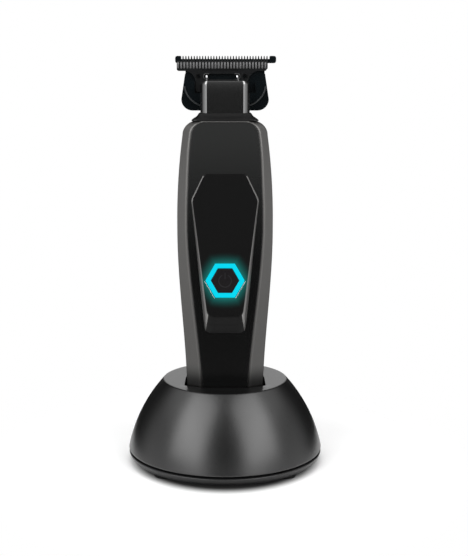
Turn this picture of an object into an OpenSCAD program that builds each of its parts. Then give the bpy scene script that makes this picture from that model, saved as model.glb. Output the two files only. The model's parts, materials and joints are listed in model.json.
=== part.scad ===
// Cordless T-blade hair trimmer standing in its round charging stand.
// Frame: origin on the table under the middle of the stand, +Z up, the trimmer's face looks along -Y.
// Every height of the trimmer is measured from its own foot, which sits on the floor of the stand's cup.

/* [Stand] */
// Radius of the stand at its lower edge
stand_r = 41.7; // [40:0.1:50]
// Radius of the flat top of the stand
stand_top_r = 26; // [24:0.1:30]
// Height of the flat top above the table
stand_h = 35.2; // [31:0.1:42]
// Radius of the arc that the side of the stand follows
dome_arc_r = 72; // [55:1:200]
// Wall of the stand's shell
stand_wall = 2.2; // [1.6:0.1:2.6]
// Height of the cup's floor above the table, where the trimmer sits
seat_h = 12.2; // [11.4:0.1:14]
// Gap all round between the trimmer and its socket
socket_gap = 0.9; // [0.6:0.1:1.4]
// Wall of the cup
cup_wall = 1.8; // [1.2:0.1:2.4]
// Floor of the cup
cup_floor_t = 2; // [1.5:0.1:2.5]
// Thickness of the base plate
base_t = 2; // [1.8:0.1:3]
// How far the base plate stands back from the shell's lower edge
base_inset = 1.5; // [1:0.1:2]
// Radius of a rubber foot
foot_r = 4.5; // [3.5:0.1:5]
// Height of a rubber foot
foot_h = 1.4; // [1:0.1:2]
// Distance of the feet and the stand's screws from the stand's edge
foot_inset = 6.7; // [6.2:0.1:7.7]
// Gap between the steel weight and the stand's screw posts
weight_gap = 1.6; // [1:0.1:3]
// Inner radius of the steel weight
weight_hole_r = 19; // [16:0.1:22]
// Height of the steel weight
weight_h = 5; // [3:0.1:6]

/* [Charging parts] */
// Distance between the two charging pins
pin_pitch = 12; // [10:0.1:14]
// Radius of a charging pin
pin_r = 1.2; // [1:0.1:1.4]
// Travel of a charging pin
pin_travel = 1; // [0.6:0.1:1.2]
// Radius of a charging pad in the trimmer's foot
contact_r = 1.9; // [1.7:0.1:2.4]
// How deep the charging pads lie in the foot
contact_recess = 0.2; // [0.1:0.05:0.4]
// Thickness of both circuit boards
board_t = 1.4; // [1:0.1:1.6]
// Radius of the hole in the power inlet
inlet_bore_r = 2.85; // [2.5:0.05:3]
// Depth of the hole in the power inlet
inlet_depth = 9; // [7:0.1:10]

/* [Trimmer body] */
// Length of the body from its foot to the collar
body_len = 132.5; // [128:0.5:145]
// Width of the body in the socket
foot_w = 31.8; // [30:0.1:33]
// Greatest width of the body
grip_w = 39.1; // [37.5:0.1:44]
// Width of the body where the shoulders begin
shoulder_w = 34.5; // [34:0.1:38]
// Radius of the shoulders
shoulder_r = 5.6; // [4.5:0.1:6.5]
// Height where the body starts to widen
widen_start = 18; // [12:0.5:24]
// Height where the body is widest
widest_z = 88; // [80:0.5:92]
// Distance of the front face from the axis at the foot
front_foot = 14.6; // [14:0.1:15.5]
// Distance of the front face from the axis at the grip
front_grip = 16; // [15.5:0.1:17]
// Distance of the front face from the axis at the collar
front_top = 14; // [13.6:0.1:15]
// Distance of the back from the axis at the foot
back_foot = 14.4; // [13.8:0.1:15.5]
// Distance of the back from the axis at the grip
back_grip = 18; // [16.5:0.1:20]
// Distance of the back from the axis at the collar
back_top = 13; // [12.6:0.1:14.5]
// Width of the bevel beside the front face at the grip
bevel_w = 3.3; // [2.5:0.1:4]
// Width of the bevel beside the front face at the foot
bevel_foot_w = 6.4; // [4.5:0.1:7]
// Depth of the bevel
bevel_d = 3.5; // [2.5:0.1:4.5]
// Wall of the two half shells
wall = 2; // [1.6:0.1:2.2]
// Wall of the front shell behind the face plate
ledge_t = 1.7; // [1.2:0.1:2]
// Thickness of the face plate
plate_t = 1.4; // [1:0.1:1.6]
// Place of the seam between the half shells, from front to back
seam_y = -7.5; // [-8.5:0.1:-6.5]
// Thickness of the foot cap
cap_t = 2.4; // [2:0.1:3.5]

/* [Pad and button] */
// Height of the upper edge of the raised pad
pad_top = 111.7; // [108:0.1:115]
// Height of the pad's two widest corners
pad_corner = 101.2; // [98:0.1:104]
// Height of the lower end of the pad's flat face
pad_knee = 53.5; // [50:0.1:56]
// Height of the pad's foot
pad_foot = 45.7; // [42:0.1:48]
// Width of the pad's upper edge
pad_top_w = 17.2; // [14:0.1:20]
// Width of the pad at its corners
pad_w = 27.6; // [24:0.1:28.5]
// Width of the pad at its foot
pad_foot_w = 16.4; // [15:0.1:20]
// Width of the bevel round the pad
pad_edge = 1.2; // [0.8:0.1:1.8]
// How far the pad stands proud at its knee
pad_proud = 2.6; // [2:0.1:3.2]
// Height of the middle of the power button
button_z = 68.7; // [66:0.1:74]
// Power button, flat to flat
button_flat = 10; // [9:0.1:11]
// Light ring, flat to flat
ring_flat = 13.8; // [13.2:0.1:15]
// Travel of the power button
button_travel = 0.4; // [0.2:0.05:0.5]

/* [Drive] */
// Radius of the battery cell
cell_r = 9.15; // [8:0.05:9.3]
// Length of the battery cell
cell_len = 65; // [48:0.5:66]
// Radius of the motor's round sides
motor_r = 10.05; // [9:0.05:10.5]
// Distance between the motor's flat sides
motor_flat = 15.1; // [14.6:0.1:15.4]
// Length of the motor's can
motor_len = 23; // [20:0.5:24]
// Wall of the motor's can
can_t = 0.8; // [0.6:0.1:0.9]
// Radius of the motor's shaft
shaft_r = 1; // [0.8:0.05:1.2]
// Stroke of the moving blade from end to end
stroke = 2.7; // [2:0.1:2.8]
// Radius of the drive pin
crank_pin_r = 1; // [0.8:0.05:1.1]

/* [Head] */
// Height of the collar
collar_h = 3.2; // [2.4:0.1:3.8]
// Width of the neck
neck_w = 20.2; // [19.4:0.1:20.8]
// Distance of the neck's front from the axis
neck_front = 10; // [9.9:0.1:10.6]
// Width of the neck's flat front
neck_flat_w = 14.2; // [11:0.1:15]
// Length of the neck above the body
neck_len = 16; // [15.4:0.1:17]
// Wall of the neck
neck_wall = 1.2; // [0.9:0.05:1.25]
// Place of the front of the fixed blade, from front to back
blade_y = 1.6; // [1.4:0.1:2]
// Thickness of the fixed blade
fixed_t = 1.8; // [1.4:0.1:2.2]
// Thickness of the moving blade
moving_t = 1.2; // [1:0.1:1.4]
// Width of the fixed blade over its end tabs
blade_w = 41; // [40:0.1:44]
// Height of the fixed blade's tooth tips above the body
blade_tip = 26.2; // [25.8:0.1:28]
// Width of the moving blade over its ears
cutter_w = 37; // [36:0.1:38]
// How far the moving blade's edge lies behind the fixed tips
cutter_back = 2; // [1.6:0.1:2.4]
// Pitch of the fixed blade's teeth
comb_pitch = 1.15; // [1:0.01:1.4]
// Pitch of the moving blade's teeth
cutter_pitch = 1.28; // [1.1:0.01:1.5]
// Width of the gaps between the teeth
tooth_gap = 0.55; // [0.4:0.05:0.65]
// Width of the moving blade's stem
stem_w = 21.6; // [20.6:0.1:22.4]
// Radius of the spring's wire
wire_r = 0.4; // [0.3:0.05:0.45]
// Distance between the two ends of the spring
spring_w = 12.4; // [11:0.1:12.6]

/* [Hidden] */
$fn = 48;
fit = 0.1;            // gap between fixed pieces that meet side by side
run = 0.05;           // running gap of shafts, pins and blades
far = 60;             // half-size of a block that cuts away everything on one side

// ---- stand: derived heights and the arc of its side ----
edge_z = foot_h + base_t;
cup_bottom = seat_h - cup_floor_t;
board_top = edge_z + fit + board_t;
arc_chord = [stand_r - stand_top_r, edge_z - stand_h];
arc_rise = sqrt(dome_arc_r * dome_arc_r - norm(arc_chord) * norm(arc_chord) / 4);
arc_x = (stand_r + stand_top_r) / 2 + arc_rise * arc_chord[1] / norm(arc_chord);
arc_z = (edge_z + stand_h) / 2 - arc_rise * arc_chord[0] / norm(arc_chord);
stand_screw_r = 1.25;
stand_boss_r = 2.9;
foot_ring_r = stand_r - foot_inset;
weight_r = foot_ring_r - stand_boss_r - weight_gap;
charge_half = 13;                // half width of the charging board
charge_front = 9;                // how far it reaches in front of the axis
charge_tail = 8;                 // how far it runs on under the power inlet
pin_block_side = 4;              // the block's wall outside a pin's axis
pin_block_depth = 10;
spring_wire_r = 0.25;
pin_flange_r = pin_r + 0.7;
pin_flange_t = 0.7;
pin_top = seat_h + contact_recess - run;
pin_stop = cup_bottom - 1.2;     // underside of the block's roof, which holds the pins in
inlet_half = 4.5;                // half height of the inlet's block
inlet_len = 13.1;
inlet_z = board_top + inlet_half;
inlet_nose_r = inlet_bore_r + 1.35;
function dome_r(z) = arc_x + sqrt(dome_arc_r * dome_arc_r - pow(z - arc_z, 2));
inlet_face = dome_r(inlet_z + inlet_nose_r) - 0.6;
inlet_back = inlet_face - inlet_len;

// ---- trimmer body: its width, front, back and bevel at a height ----
grip_z = 80;
fall_start = widest_z + 4;
shoulder_z = body_len - shoulder_r;
seam_side = -4;                  // where the flat sides end and the round back begins
back_power = 0.8;                // fuller than an ellipse below 1

function ease(t) = t <= 0 ? 0 : t >= 1 ? 1 : t * t * (3 - 2 * t);
function side_w(z) = foot_w / 2
    + (grip_w - foot_w) / 2 * ease((z - widen_start) / (widest_z - widen_start))
    - (grip_w - shoulder_w) / 2 * pow(max(0, z - fall_start) / (shoulder_z - fall_start), 2);
function half_w(z) = z <= shoulder_z ? side_w(z)
    : side_w(shoulder_z) - shoulder_r + sqrt(max(0, shoulder_r * shoulder_r - pow(z - shoulder_z, 2)));
function belly(z, foot, grip, top) = z < grip_z
    ? grip - (grip - foot) * pow((grip_z - z) / grip_z, 2)
    : grip - (grip - top) * pow((z - grip_z) / (body_len - grip_z), 2);
function front(z) = belly(z, front_foot, front_grip, front_top);
function back(z) = belly(z, back_foot, back_grip, back_top);
function bevel(z) = bevel_w + (bevel_foot_w - bevel_w) * max(0, widest_z - z) / widest_z;
function face_w(z) = half_w(z) - bevel(z);

// One cross-section, grown by g all round and by gf at the front
function section(z, g = 0, gf = undef) =
    let (w = half_w(z) + g, f = front(z) + (gf == undef ? g : gf), b = back(z) + g,
         fw = face_w(z) + 0.41 * g, by = -f + bevel_d - 0.41 * g)
    concat([[-fw, -f], [fw, -f], [w, by]],
           [for (i = [0 : 10]) let (a = i * 18)
               [w * sign(cos(a)) * pow(abs(cos(a)), back_power),
                seam_side + (b - seam_side) * pow(abs(sin(a)), back_power)]],
           [[-w, by]]);

straight_steps = 12;
shoulder_steps = 4;
function body_heights(low, high) = concat(
    [for (i = [0 : straight_steps]) low + (shoulder_z - low) * i / straight_steps],
    [for (i = [1 : shoulder_steps])
        let (z = shoulder_z + shoulder_r * sin(90 * i / shoulder_steps)) if (z < high - 0.05) z],
    [high]);

// A solid through a stack of cross-sections
module body_loft(low, high, g = 0, gf = undef) {
    zs = body_heights(low, high);
    n = len(section(low));
    points = [for (z = zs) for (p = section(z, g, gf)) [p[0], p[1], z]];
    sides = [for (k = [0 : len(zs) - 2]) for (i = [0 : n - 1]) let (j = (i + 1) % n, a = k * n, b = a + n)
        for (t = [[a + i, b + i, b + j], [a + i, b + j, a + j]]) t];
    lid = [for (i = [n - 1 : -1 : 0]) (len(zs) - 1) * n + i];
    polyhedron(points, concat([[for (i = [0 : n - 1]) i]], sides, [lid]), convexity = 4);
}

// ---- pad: its slanted face ----
pad_rise = 0.25;
function pad_y(z) = let (y1 = -front(pad_top) - pad_rise, y2 = -front(pad_knee) - pad_proud)
    y2 + (y1 - y2) * (z - pad_knee) / (pad_top - pad_knee);
pad_slope = atan((pad_y(pad_top) - pad_y(pad_knee)) / (pad_top - pad_knee));
ring_depth = plate_t + (-pad_y(button_z) - front(button_z)) - ring_flat / 2 * sin(pad_slope) - fit;
ledge_hole = (button_flat + ring_flat) / 2 + 0.2;
button_lip = 0.8;
button_back = ring_depth + 0.15 + button_lip;

// ---- drive: heights of the stack from battery to cam ----
chassis_t = 1.4;
board_back = seam_y - chassis_t - fit;
board_front = board_back - board_t;
cell_y = seam_y + 0.5 + cell_r;
drive_room = 11.5;               // from the motor to the body's top
cell_gap = 9;                    // from the battery to the motor
motor_z = body_len - drive_room - motor_len;
cell_z = motor_z - cell_gap - cell_len;
board_over = 4;                  // how far the control board passes the battery's lower end
board_low = cell_z - board_over;
board_high = motor_z - cell_gap + 3;
board_w = 2 * face_w(board_low) + 0.4;
tab_h = 0.3;
nose_len = 1.5;
bush_r = shaft_r + 2;
stator_r = motor_flat / 2 - can_t - run;   // the iron core fills the can between its flat sides
tooth_r = 3.9;                   // inner ends of the stator's teeth
rotor_r = tooth_r - 0.4;
rotor_low = motor_z + 5;
rotor_high = motor_z + motor_len - 4;
crank = stroke / 2;
cutter_x = -crank;               // the moving blade stands at the left end of its stroke
low_screw = [12.4, 38];          // x and height of the body's screws
high_screw = [14.2, motor_z + 11];
screw_seat_y = 9;
screw_r = 1.1;
screw_head_r = 2.1;
screw_boss_r = 2;

// ---- head: heights above the body's top, turned into heights from the foot ----
neck_top = body_len + neck_len;
tip_z = body_len + blade_tip;
collar_w = 26.4;
collar_corner = 3.2;
collar_margin = 0.7;             // how far the collar passes the neck all round
collar_edge = 0.3;
wing_bottom = body_len + 4;
wing_w = 36.2;                   // width over the wings of the fixed blade
wing_top_w = 32.4;               // width of the wings under the toothed bar
wing_corner_r = 4.6;
mount_corner_r = 8;
mount_side = 1.2;                // how far the blade mount stands in from the wings' sides
mount_low = 3;                   // how far it stands above their lower edge
bar_bottom = tip_z - 6.3;
tab_w = 2.1;                     // width of the end tab beside the teeth
comb_depth = 4.6;
cutter_top = tip_z - cutter_back;
cutter_bar_h = 4.1;
cutter_bar_bottom = cutter_top - cutter_bar_h;
cutter_teeth = 3;
cutter_fillet = 4.6;
stem_len = 12.6;                 // from the moving blade's edge to the foot of its stem
stem_bottom = cutter_top - stem_len;
slot_z = cutter_top - 6.35;
slot_h = 2.1;
keyhole_r = 1.25;                // round ends of the slot, where the spring's tips push
lock_hole_r = 0.6;
peg_r = 1.1;                     // the follower's peg in the foot of the stem
peg_z = stem_bottom + 2;
cutter_y = blade_y - run - moving_t;
screw_z = body_len + 6.9;
blade_screw_x = 7.4;
blade_screw_r = 1.25;
neck_boss_r = 1.9;
spring_z = screw_z + neck_boss_r + wire_r + 0.1;
mount_front = cutter_y - 0.95;
spring_y = mount_front - wire_r - 0.1;
follower_bottom = spring_z + wire_r + 0.2;
follower_top = neck_top - neck_wall - 0.4;
fork_x = stroke + crank_pin_r + 0.15;
fork_y = crank + crank_pin_r + 0.3;
fork_wall = 1.2;
pin_end = follower_top - 1.7;
cam_top = follower_bottom - 1.9;
cam_r = crank + crank_pin_r + 0.25;
cam_h = 3;
drive_y = spring_y - wire_r - run - crank - crank_pin_r;   // the drive pin passes just in front of the spring

// ---- helpers ----
module seated() translate([0, 0, seat_h]) children();
// extrudes a drawing of x and z along y, from y0 to y1
module front_prism(y0, y1) translate([0, y1, 0]) rotate([90, 0, 0]) linear_extrude(y1 - y0) children();
// extrudes a drawing of y and z along x, half to each side
module side_prism(half) translate([-half, 0, 0]) rotate([90, 0, 90]) linear_extrude(2 * half) children();
module block(low, high) translate(low) cube(high - low);
module rod_y(r, y0, y1, x = 0, z = 0) translate([x, y0, z]) rotate([-90, 0, 0]) cylinder(r = r, h = y1 - y0);
module hex_y(flat, y0, y1) translate([0, y0, 0]) rotate([-90, 0, 0])
    cylinder(r = flat / 2 / cos(30), h = y1 - y0, $fn = 6);
module pair() { children(); mirror([1, 0, 0]) children(); }
module round_rect(w, d0, d1, r) {
    translate([-w / 2 + r, d0]) square([w - 2 * r, d1 - d0]);
    translate([-w / 2, d0 + r]) square([w, d1 - d0 - 2 * r]);
    for (x = [-w / 2 + r, w / 2 - r], y = [d0 + r, d1 - r]) translate([x, y]) circle(r = r);
}
// a straight piece of wire, a little longer than a to b so that two pieces meet at a bend
module wire(a, b, r) {
    d = b - a;
    translate(a - d / norm(d) * r * 0.8) rotate([0, acos(d[2] / norm(d)), atan2(d[1], d[0])])
        cylinder(r = r, h = norm(d) + 1.6 * r, $fn = 10);
}
module on_pad() translate([0, pad_y(button_z), button_z]) rotate([-pad_slope, 0, 0]) children();
module at_feet() for (a = [45 : 90 : 315]) rotate([0, 0, a]) translate([foot_ring_r, 0, 0]) children();
module at_pins() for (s = [-1, 1]) translate([s * pin_pitch / 2, 0, 0]) children();
module at_body_screws() pair() {
    translate([low_screw[0], 0, low_screw[1]]) children();
    translate([high_screw[0], 0, high_screw[1]]) children();
}

// ---- stand ----
module dome(inset, top_inset) rotate_extrude($fn = 96) intersection() {
    translate([arc_x, arc_z]) circle(r = dome_arc_r - inset, $fn = 180);
    translate([0, edge_z]) square([stand_r + 5, stand_h - edge_z - top_inset]);
}
module socket_hole(z0, z1, grow) translate([0, 0, z0]) linear_extrude(z1 - z0)
    polygon(section(stand_h - seat_h, socket_gap + grow));

module stand_shell() color("#3a3d40") difference() {
    dome(0, 0);
    difference() {
        translate([0, 0, -fit]) dome(stand_wall, stand_wall - fit);
        intersection() {
            at_feet() translate([0, 0, edge_z]) cylinder(r = stand_boss_r, h = stand_h);
            dome(0, 0);
        }
    }
    socket_hole(edge_z, stand_h + 1, 0);
    at_feet() cylinder(r = stand_screw_r, h = edge_z + 8);
    rod_y(inlet_nose_r + fit, inlet_back, stand_r + 5, 0, inlet_z);
}
module stand_cup() color("#17191b") difference() {
    socket_hole(cup_bottom, stand_h - stand_wall, cup_wall);
    socket_hole(seat_h, stand_h, 0);
    at_pins() cylinder(r = pin_r + 0.15, h = stand_h);
}
module stand_base() color("#54585c") difference() {
    translate([0, 0, foot_h]) cylinder(r = stand_r - base_inset, h = base_t, $fn = 96);
    at_feet() cylinder(r = stand_screw_r + fit, h = stand_h);
    at_feet() cylinder(r = screw_head_r + fit, h = foot_h + 1.3);
}
module stand_weight() color("#7d8184") difference() {
    translate([0, 0, edge_z]) cylinder(r = weight_r, h = weight_h, $fn = 96);
    translate([0, 0, edge_z - 1]) cylinder(r = weight_hole_r, h = weight_h + 2);
    block([-charge_half - 1, -charge_front - 3, edge_z - 1], [charge_half + 1, far, stand_h]);
}
module stand_feet() color("#151515") at_feet() cylinder(r = foot_r, h = foot_h);
module stand_screws() color("#8c9094") at_feet() {
    translate([0, 0, foot_h + fit]) cylinder(r = screw_head_r, h = 1.2);
    translate([0, 0, foot_h + fit]) cylinder(r = stand_screw_r, h = 9);
}
module pin_block() color("#1d1f21") difference() {
    block([-pin_pitch / 2 - pin_block_side, -pin_block_depth / 2, board_top],
          [pin_pitch / 2 + pin_block_side, pin_block_depth / 2, cup_bottom]);
    at_pins() translate([0, 0, board_top - 1]) cylinder(r = pin_flange_r + 0.15, h = pin_stop - board_top + 1);
    at_pins() cylinder(r = pin_r + run, h = stand_h);
}
module charge_board() color("#1d5c38")
    block([-charge_half, -charge_front, board_top - board_t], [charge_half, inlet_back + charge_tail, board_top]);
module inlet_jack() color("#202224") {
    difference() {
        union() {
            block([-inlet_half, inlet_back, board_top], [inlet_half, inlet_face - 2.6, inlet_z + inlet_half]);
            rod_y(inlet_nose_r, inlet_face - 2.7, inlet_face, 0, inlet_z);
        }
        rod_y(inlet_bore_r, inlet_face - inlet_depth, stand_r, 0, inlet_z);
    }
    rod_y(1.05, inlet_face - inlet_depth - 1, inlet_face - 0.8, 0, inlet_z);
}
// A coil spring as one tube swept along its helix
module coil(r, wire, low, high, turns, steps = 14, sides = 6) {
    n = turns * steps;
    pts = [for (i = [0 : n]) let (a = 360 * i / steps, z = low + wire + (high - low - 2 * wire) * i / n)
        for (k = [0 : sides - 1]) let (b = 360 * k / sides)
            [(r + wire * cos(b)) * cos(a), (r + wire * cos(b)) * sin(a), z + wire * sin(b)]];
    polyhedron(pts, concat(
        [[for (k = [0 : sides - 1]) k]],
        [for (i = [0 : n - 1]) for (k = [0 : sides - 1]) let (m = (k + 1) % sides)
            for (t = [[i * sides + k, (i + 1) * sides + k, (i + 1) * sides + m],
                      [i * sides + k, (i + 1) * sides + m, i * sides + m]]) t],
        [[for (k = [sides - 1 : -1 : 0]) n * sides + k]]), convexity = 8);
}
spring_top = pin_stop - run - pin_flange_t;
// as many turns as still leave the pin its travel
spring_turns = floor((spring_top - board_top - pin_travel) / (2 * spring_wire_r));
module pin_spring(side) color("#c9ccd0") translate([side * pin_pitch / 2, 0, 0])
    coil(pin_flange_r - spring_wire_r - fit, spring_wire_r, board_top, spring_top, spring_turns);
module contact_pin(side) color("#d8b25a") translate([side * pin_pitch / 2, 0, 0]) {
    translate([0, 0, spring_top]) cylinder(r = pin_r, h = pin_top - spring_top);
    translate([0, 0, spring_top]) cylinder(r = pin_flange_r, h = pin_flange_t);
}

// ---- trimmer body ----
// everything in front of y for side -1, or behind it for side 1
module half_space(y, side) if (side < 0) block([-far, -far, -far], [far, y, 4 * far]);
    else block([-far, y, -far], [far, far, 4 * far]);
module shell_hollow() body_loft(-1, body_len - wall, -wall, -plate_t - fit - ledge_t);
module neck_opening() linear_extrude(2 * body_len)
    translate([-neck_w / 2 - fit, -neck_front - fit])
        square([neck_w + 2 * fit, neck_front + blade_y + 2 * fit]);
// outline of the flat front face, x against height
function face_outline(low, high, g) = let (zs = [for (z = body_heights(low, high)) z])
    concat([for (z = zs) [face_w(z) + g, z]], [for (i = [len(zs) - 1 : -1 : 0]) [-face_w(zs[i]) - g, zs[i]]]);
// a band that follows the front face, from depth d0 to depth d1
module face_band(d0, d1) side_prism(far / 2) let (zs = body_heights(cap_t, body_len))
    polygon(concat([for (z = zs) [-front(z) + d0, z]],
                   [for (i = [len(zs) - 1 : -1 : 0]) [-front(zs[i]) + d1, zs[i]]]));
plate_low = 6;
plate_high_gap = 0.3;

module front_shell() color("#46494c") seated() difference() {
    union() {
        intersection() {
            difference() {
                body_loft(cap_t, body_len);
                shell_hollow();
            }
            half_space(seam_y - fit / 2, -1);
        }
        at_body_screws() intersection() {
            rod_y(screw_boss_r, -front_grip + plate_t + fit + 0.4, seam_y - chassis_t - fit);
            rod_y(screw_boss_r, -front_foot + plate_t, seam_y);
        }
    }
    intersection() {
        face_band(-2, plate_t + fit);
        front_prism(-far, 0) polygon(face_outline(plate_low - fit, body_len - plate_high_gap + fit, fit));
    }
    neck_opening();
    motor_room();
    at_body_screws() rod_y(screw_r, -front_foot + 3, far);
    on_pad() hex_y(ledge_hole, -5, 12);
}
module rear_shell() color("#3b3e41") seated() difference() {
    union() {
        intersection() {
            difference() {
                body_loft(cap_t, body_len);
                shell_hollow();
            }
            half_space(seam_y + fit / 2, 1);
        }
        at_body_screws() rod_y(screw_boss_r + 0.4, seam_y, screw_seat_y + 1);
    }
    neck_opening();
    at_body_screws() rod_y(screw_r + fit, -far, far);
    at_body_screws() rod_y(screw_head_r + fit, screw_seat_y, far);
}
module face_plate() color("#232527") seated() difference() {
    intersection() {
        face_band(0, plate_t);
        front_prism(-far, 0) polygon(face_outline(plate_low, body_len - plate_high_gap, 0));
    }
    on_pad() hex_y(ring_flat + 2 * fit, -5, 12);
}
// outline of the pad, drawn in by an even margin
module pad_outline(m) polygon([
    [pad_top_w / 2 - m * 0.6, pad_top - m], [pad_w / 2 - m * 1.2, pad_corner - m * 0.2],
    [pad_foot_w / 2 - m, pad_foot + m * 1.4],
    [-pad_foot_w / 2 + m, pad_foot + m * 1.4], [-pad_w / 2 + m * 1.2, pad_corner - m * 0.2],
    [-pad_top_w / 2 + m * 0.6, pad_top - m]]);
module button_pad() color("#2a2c2f") seated() difference() {
    hull() {
        front_prism(-front_top, -front_top + 0.5) pad_outline(0);
        intersection() {
            front_prism(-far / 2, -front_top) pad_outline(pad_edge);
            side_prism(far / 2) polygon([
                [-front_top, pad_foot], [-front(pad_foot) - fit, pad_foot],
                [pad_y(pad_knee), pad_knee], [pad_y(pad_top), pad_top], [-front_top, pad_top]]);
        }
    }
    face_band(0, far / 4);
    on_pad() hex_y(ring_flat + fit, -5, 12);
}
module light_ring() color("#22d3ee") seated() on_pad() difference() {
    hex_y(ring_flat, -0.15, ring_depth);
    hex_y(button_flat + 0.3, -5, 12);
}
module power_button() color("#15171a") seated() on_pad() {
    hex_y(button_flat, -0.35, ring_depth + 0.2);
    hex_y(button_flat + 1.2, ring_depth + 0.15, button_back);
}
switch_front = board_front - 2.5;
switch_bore = 1.7;
module tact_switch() color("#2b2d30") seated() difference() {
    block([-3, switch_front, button_z - 3], [3, board_front, button_z + 3]);
    rod_y(1.75, switch_front - 1, switch_front + switch_bore, 0, button_z);
}
module switch_plunger() color("#b9bcc0") seated()
    rod_y(1.6, pad_y(button_z) + button_back + fit, switch_front + switch_bore - 2 * button_travel, 0, button_z);
module foot_cap() color("#1b1d1f") seated() difference() {
    union() {
        linear_extrude(0.6) polygon(section(cap_t, -0.5));
        translate([0, 0, 0.6]) linear_extrude(cap_t - 0.6) polygon(section(cap_t, 0));
        translate([0, 0, cap_t]) linear_extrude(3.5) difference() {
            polygon(section(cap_t, -wall - fit, -plate_t - ledge_t - 2 * fit));
            polygon(section(cap_t, -wall - fit - 1.4, -plate_t - ledge_t - 2 * fit - 1.4));
        }
    }
    at_pins() translate([0, 0, -1]) cylinder(r = contact_r, h = far);
}
module charge_pads() color("#d8b25a") seated() at_pins() {
    translate([0, 0, contact_recess]) cylinder(r = contact_r, h = cap_t - contact_recess + 0.4);
    translate([0, 0, cap_t]) cylinder(r = contact_r + 0.7, h = 0.5);
    translate([0, 0, cap_t]) cylinder(r = 0.8, h = 3);
}
module body_screws() color("#6d7074") seated() at_body_screws() {
    rod_y(screw_head_r, screw_seat_y, screw_seat_y + 1.4);
    rod_y(screw_r, -front_foot + 3.2, screw_seat_y);
}

// ---- inside the body ----
module chassis() color("#d9d6cc") seated() difference() {
    union() {
        block([-cell_r - 1.8, seam_y - chassis_t, cell_z + 2], [cell_r + 1.8, seam_y, cell_z + cell_len - 2]);
        pair() translate([low_screw[0], 0, low_screw[1]]) rod_y(screw_boss_r - 0.5, seam_y - chassis_t, seam_y);
        pair() block([cell_r + 1, seam_y - chassis_t, low_screw[1] - 1.5],
                     [low_screw[0], seam_y, low_screw[1] + 1.5]);
        for (t = [0.12, 0.5, 0.88]) translate([0, 0, cell_z + cell_len * t - 1.5]) intersection() {
            translate([0, cell_y, 0]) cylinder(r = cell_r + 1.8, h = 3);
            block([-far, seam_y - chassis_t, 0], [far, cell_y, 3]);
        }
    }
    translate([0, cell_y, 0]) cylinder(r = cell_r + fit, h = 2 * body_len);
    pair() rod_y(screw_r + fit, -far, far, low_screw[0], low_screw[1]);
}
module battery_cell() color("#2f7d4f") seated() translate([0, cell_y, cell_z]) {
    cylinder(r = cell_r, h = cell_len - 0.8);
    cylinder(r = 3.4, h = cell_len);
}
module battery_tabs() color("#c4c7ca") seated() for (z = [cell_z - tab_h, cell_z + cell_len])
    block([-3, board_back, z], [3, cell_y + 2, z + tab_h]);
module control_board() color("#1d5c38") seated()
    block([-board_w / 2, board_front, board_low], [board_w / 2, board_back, board_high]);
// a chip on the control board: its middle, width, height and thickness
module chip(x, z, w, h, t) block([x - w / 2, board_front - t, z - h / 2], [x + w / 2, board_front, z + h / 2]);
chip_t = 1.1;
chip_w = 6;
chip_span = button_z - 8 - board_low;      // the board's length below the push switch
module board_chips() color("#2a2a2a") seated() {
    chip(chip_w, board_low + 0.2 * chip_span, chip_w / 2, chip_w / 2, chip_t);
    chip(-chip_w / 2, board_low + 0.5 * chip_span, chip_w, chip_w, chip_t);
    chip(chip_w, board_low + 0.55 * chip_span, chip_w * 0.7, chip_w / 2, chip_t);
    chip(-chip_w, board_low + 0.85 * chip_span, chip_w * 0.7, chip_w / 3, chip_t);
}
module status_leds() color("#e9fbff") seated() for (s = [-1, 1], t = [-1, 1])
    translate([s * 4.5, 0, button_z + t * 5.2]) block([-0.8, board_front - 0.7, -0.5], [0.8, board_front, 0.5]);

// ---- motor ----
module motor_form(r, flat, z0, z1) translate([0, drive_y, z0]) intersection() {
    cylinder(r = r, h = z1 - z0);
    block([-far, -flat / 2, 0], [far, flat / 2, z1 - z0]);
}
module on_drive(z) translate([0, drive_y, z]) children();
cradle_side = 1.3;
cradle_flat = 0.5;
cradle_h = 6;
// room for the motor and its cradle inside the half shells
module motor_room() {
    motor_form(motor_r + fit, motor_flat + 2 * fit, motor_z - 3, motor_z + motor_len + nose_len + fit);
    motor_form(motor_r + cradle_side + fit, motor_flat + 2 * (cradle_flat + fit),
        high_screw[1] - cradle_h / 2 - fit, high_screw[1] + cradle_h / 2 + fit);
}
module motor_can() color("#b4b7ba") seated() difference() {
    union() {
        motor_form(motor_r, motor_flat, motor_z, motor_z + motor_len);
        on_drive(motor_z + motor_len) cylinder(r = bush_r + 1, h = nose_len);
    }
    motor_form(motor_r - can_t, motor_flat - 2 * can_t, motor_z - 1, motor_z + motor_len - can_t);
    on_drive(motor_z) cylinder(r = bush_r, h = far);
}
// Six teeth point inward from a ring of iron, and each carries a coil
module stator_core() color("#5b5f63") seated() on_drive(rotor_low) difference() {
    union() {
        difference() {
            cylinder(r = stator_r, h = rotor_high - rotor_low);
            translate([0, 0, -1]) cylinder(r = stator_r - 1.1, h = far);
        }
        for (a = [0 : 60 : 300]) rotate([0, 0, a]) {
            translate([tooth_r - 0.3, -0.6, 0]) cube([stator_r - tooth_r, 1.2, rotor_high - rotor_low]);
            translate([tooth_r - 0.3, -1.4, 0]) cube([0.9, 2.8, rotor_high - rotor_low]);
        }
    }
    translate([0, 0, -1]) cylinder(r = tooth_r, h = far);
}
module stator_coils() color("#b5622e") seated() on_drive(rotor_low - 0.8)
    for (a = [0 : 60 : 300]) rotate([0, 0, a]) difference() {
        translate([tooth_r + 0.7, -1.25, 0]) cube([0.8, 2.5, rotor_high - rotor_low + 1.6]);
        translate([0, -0.6, 0.8]) cube([far, 1.2, rotor_high - rotor_low]);
    }
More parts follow.
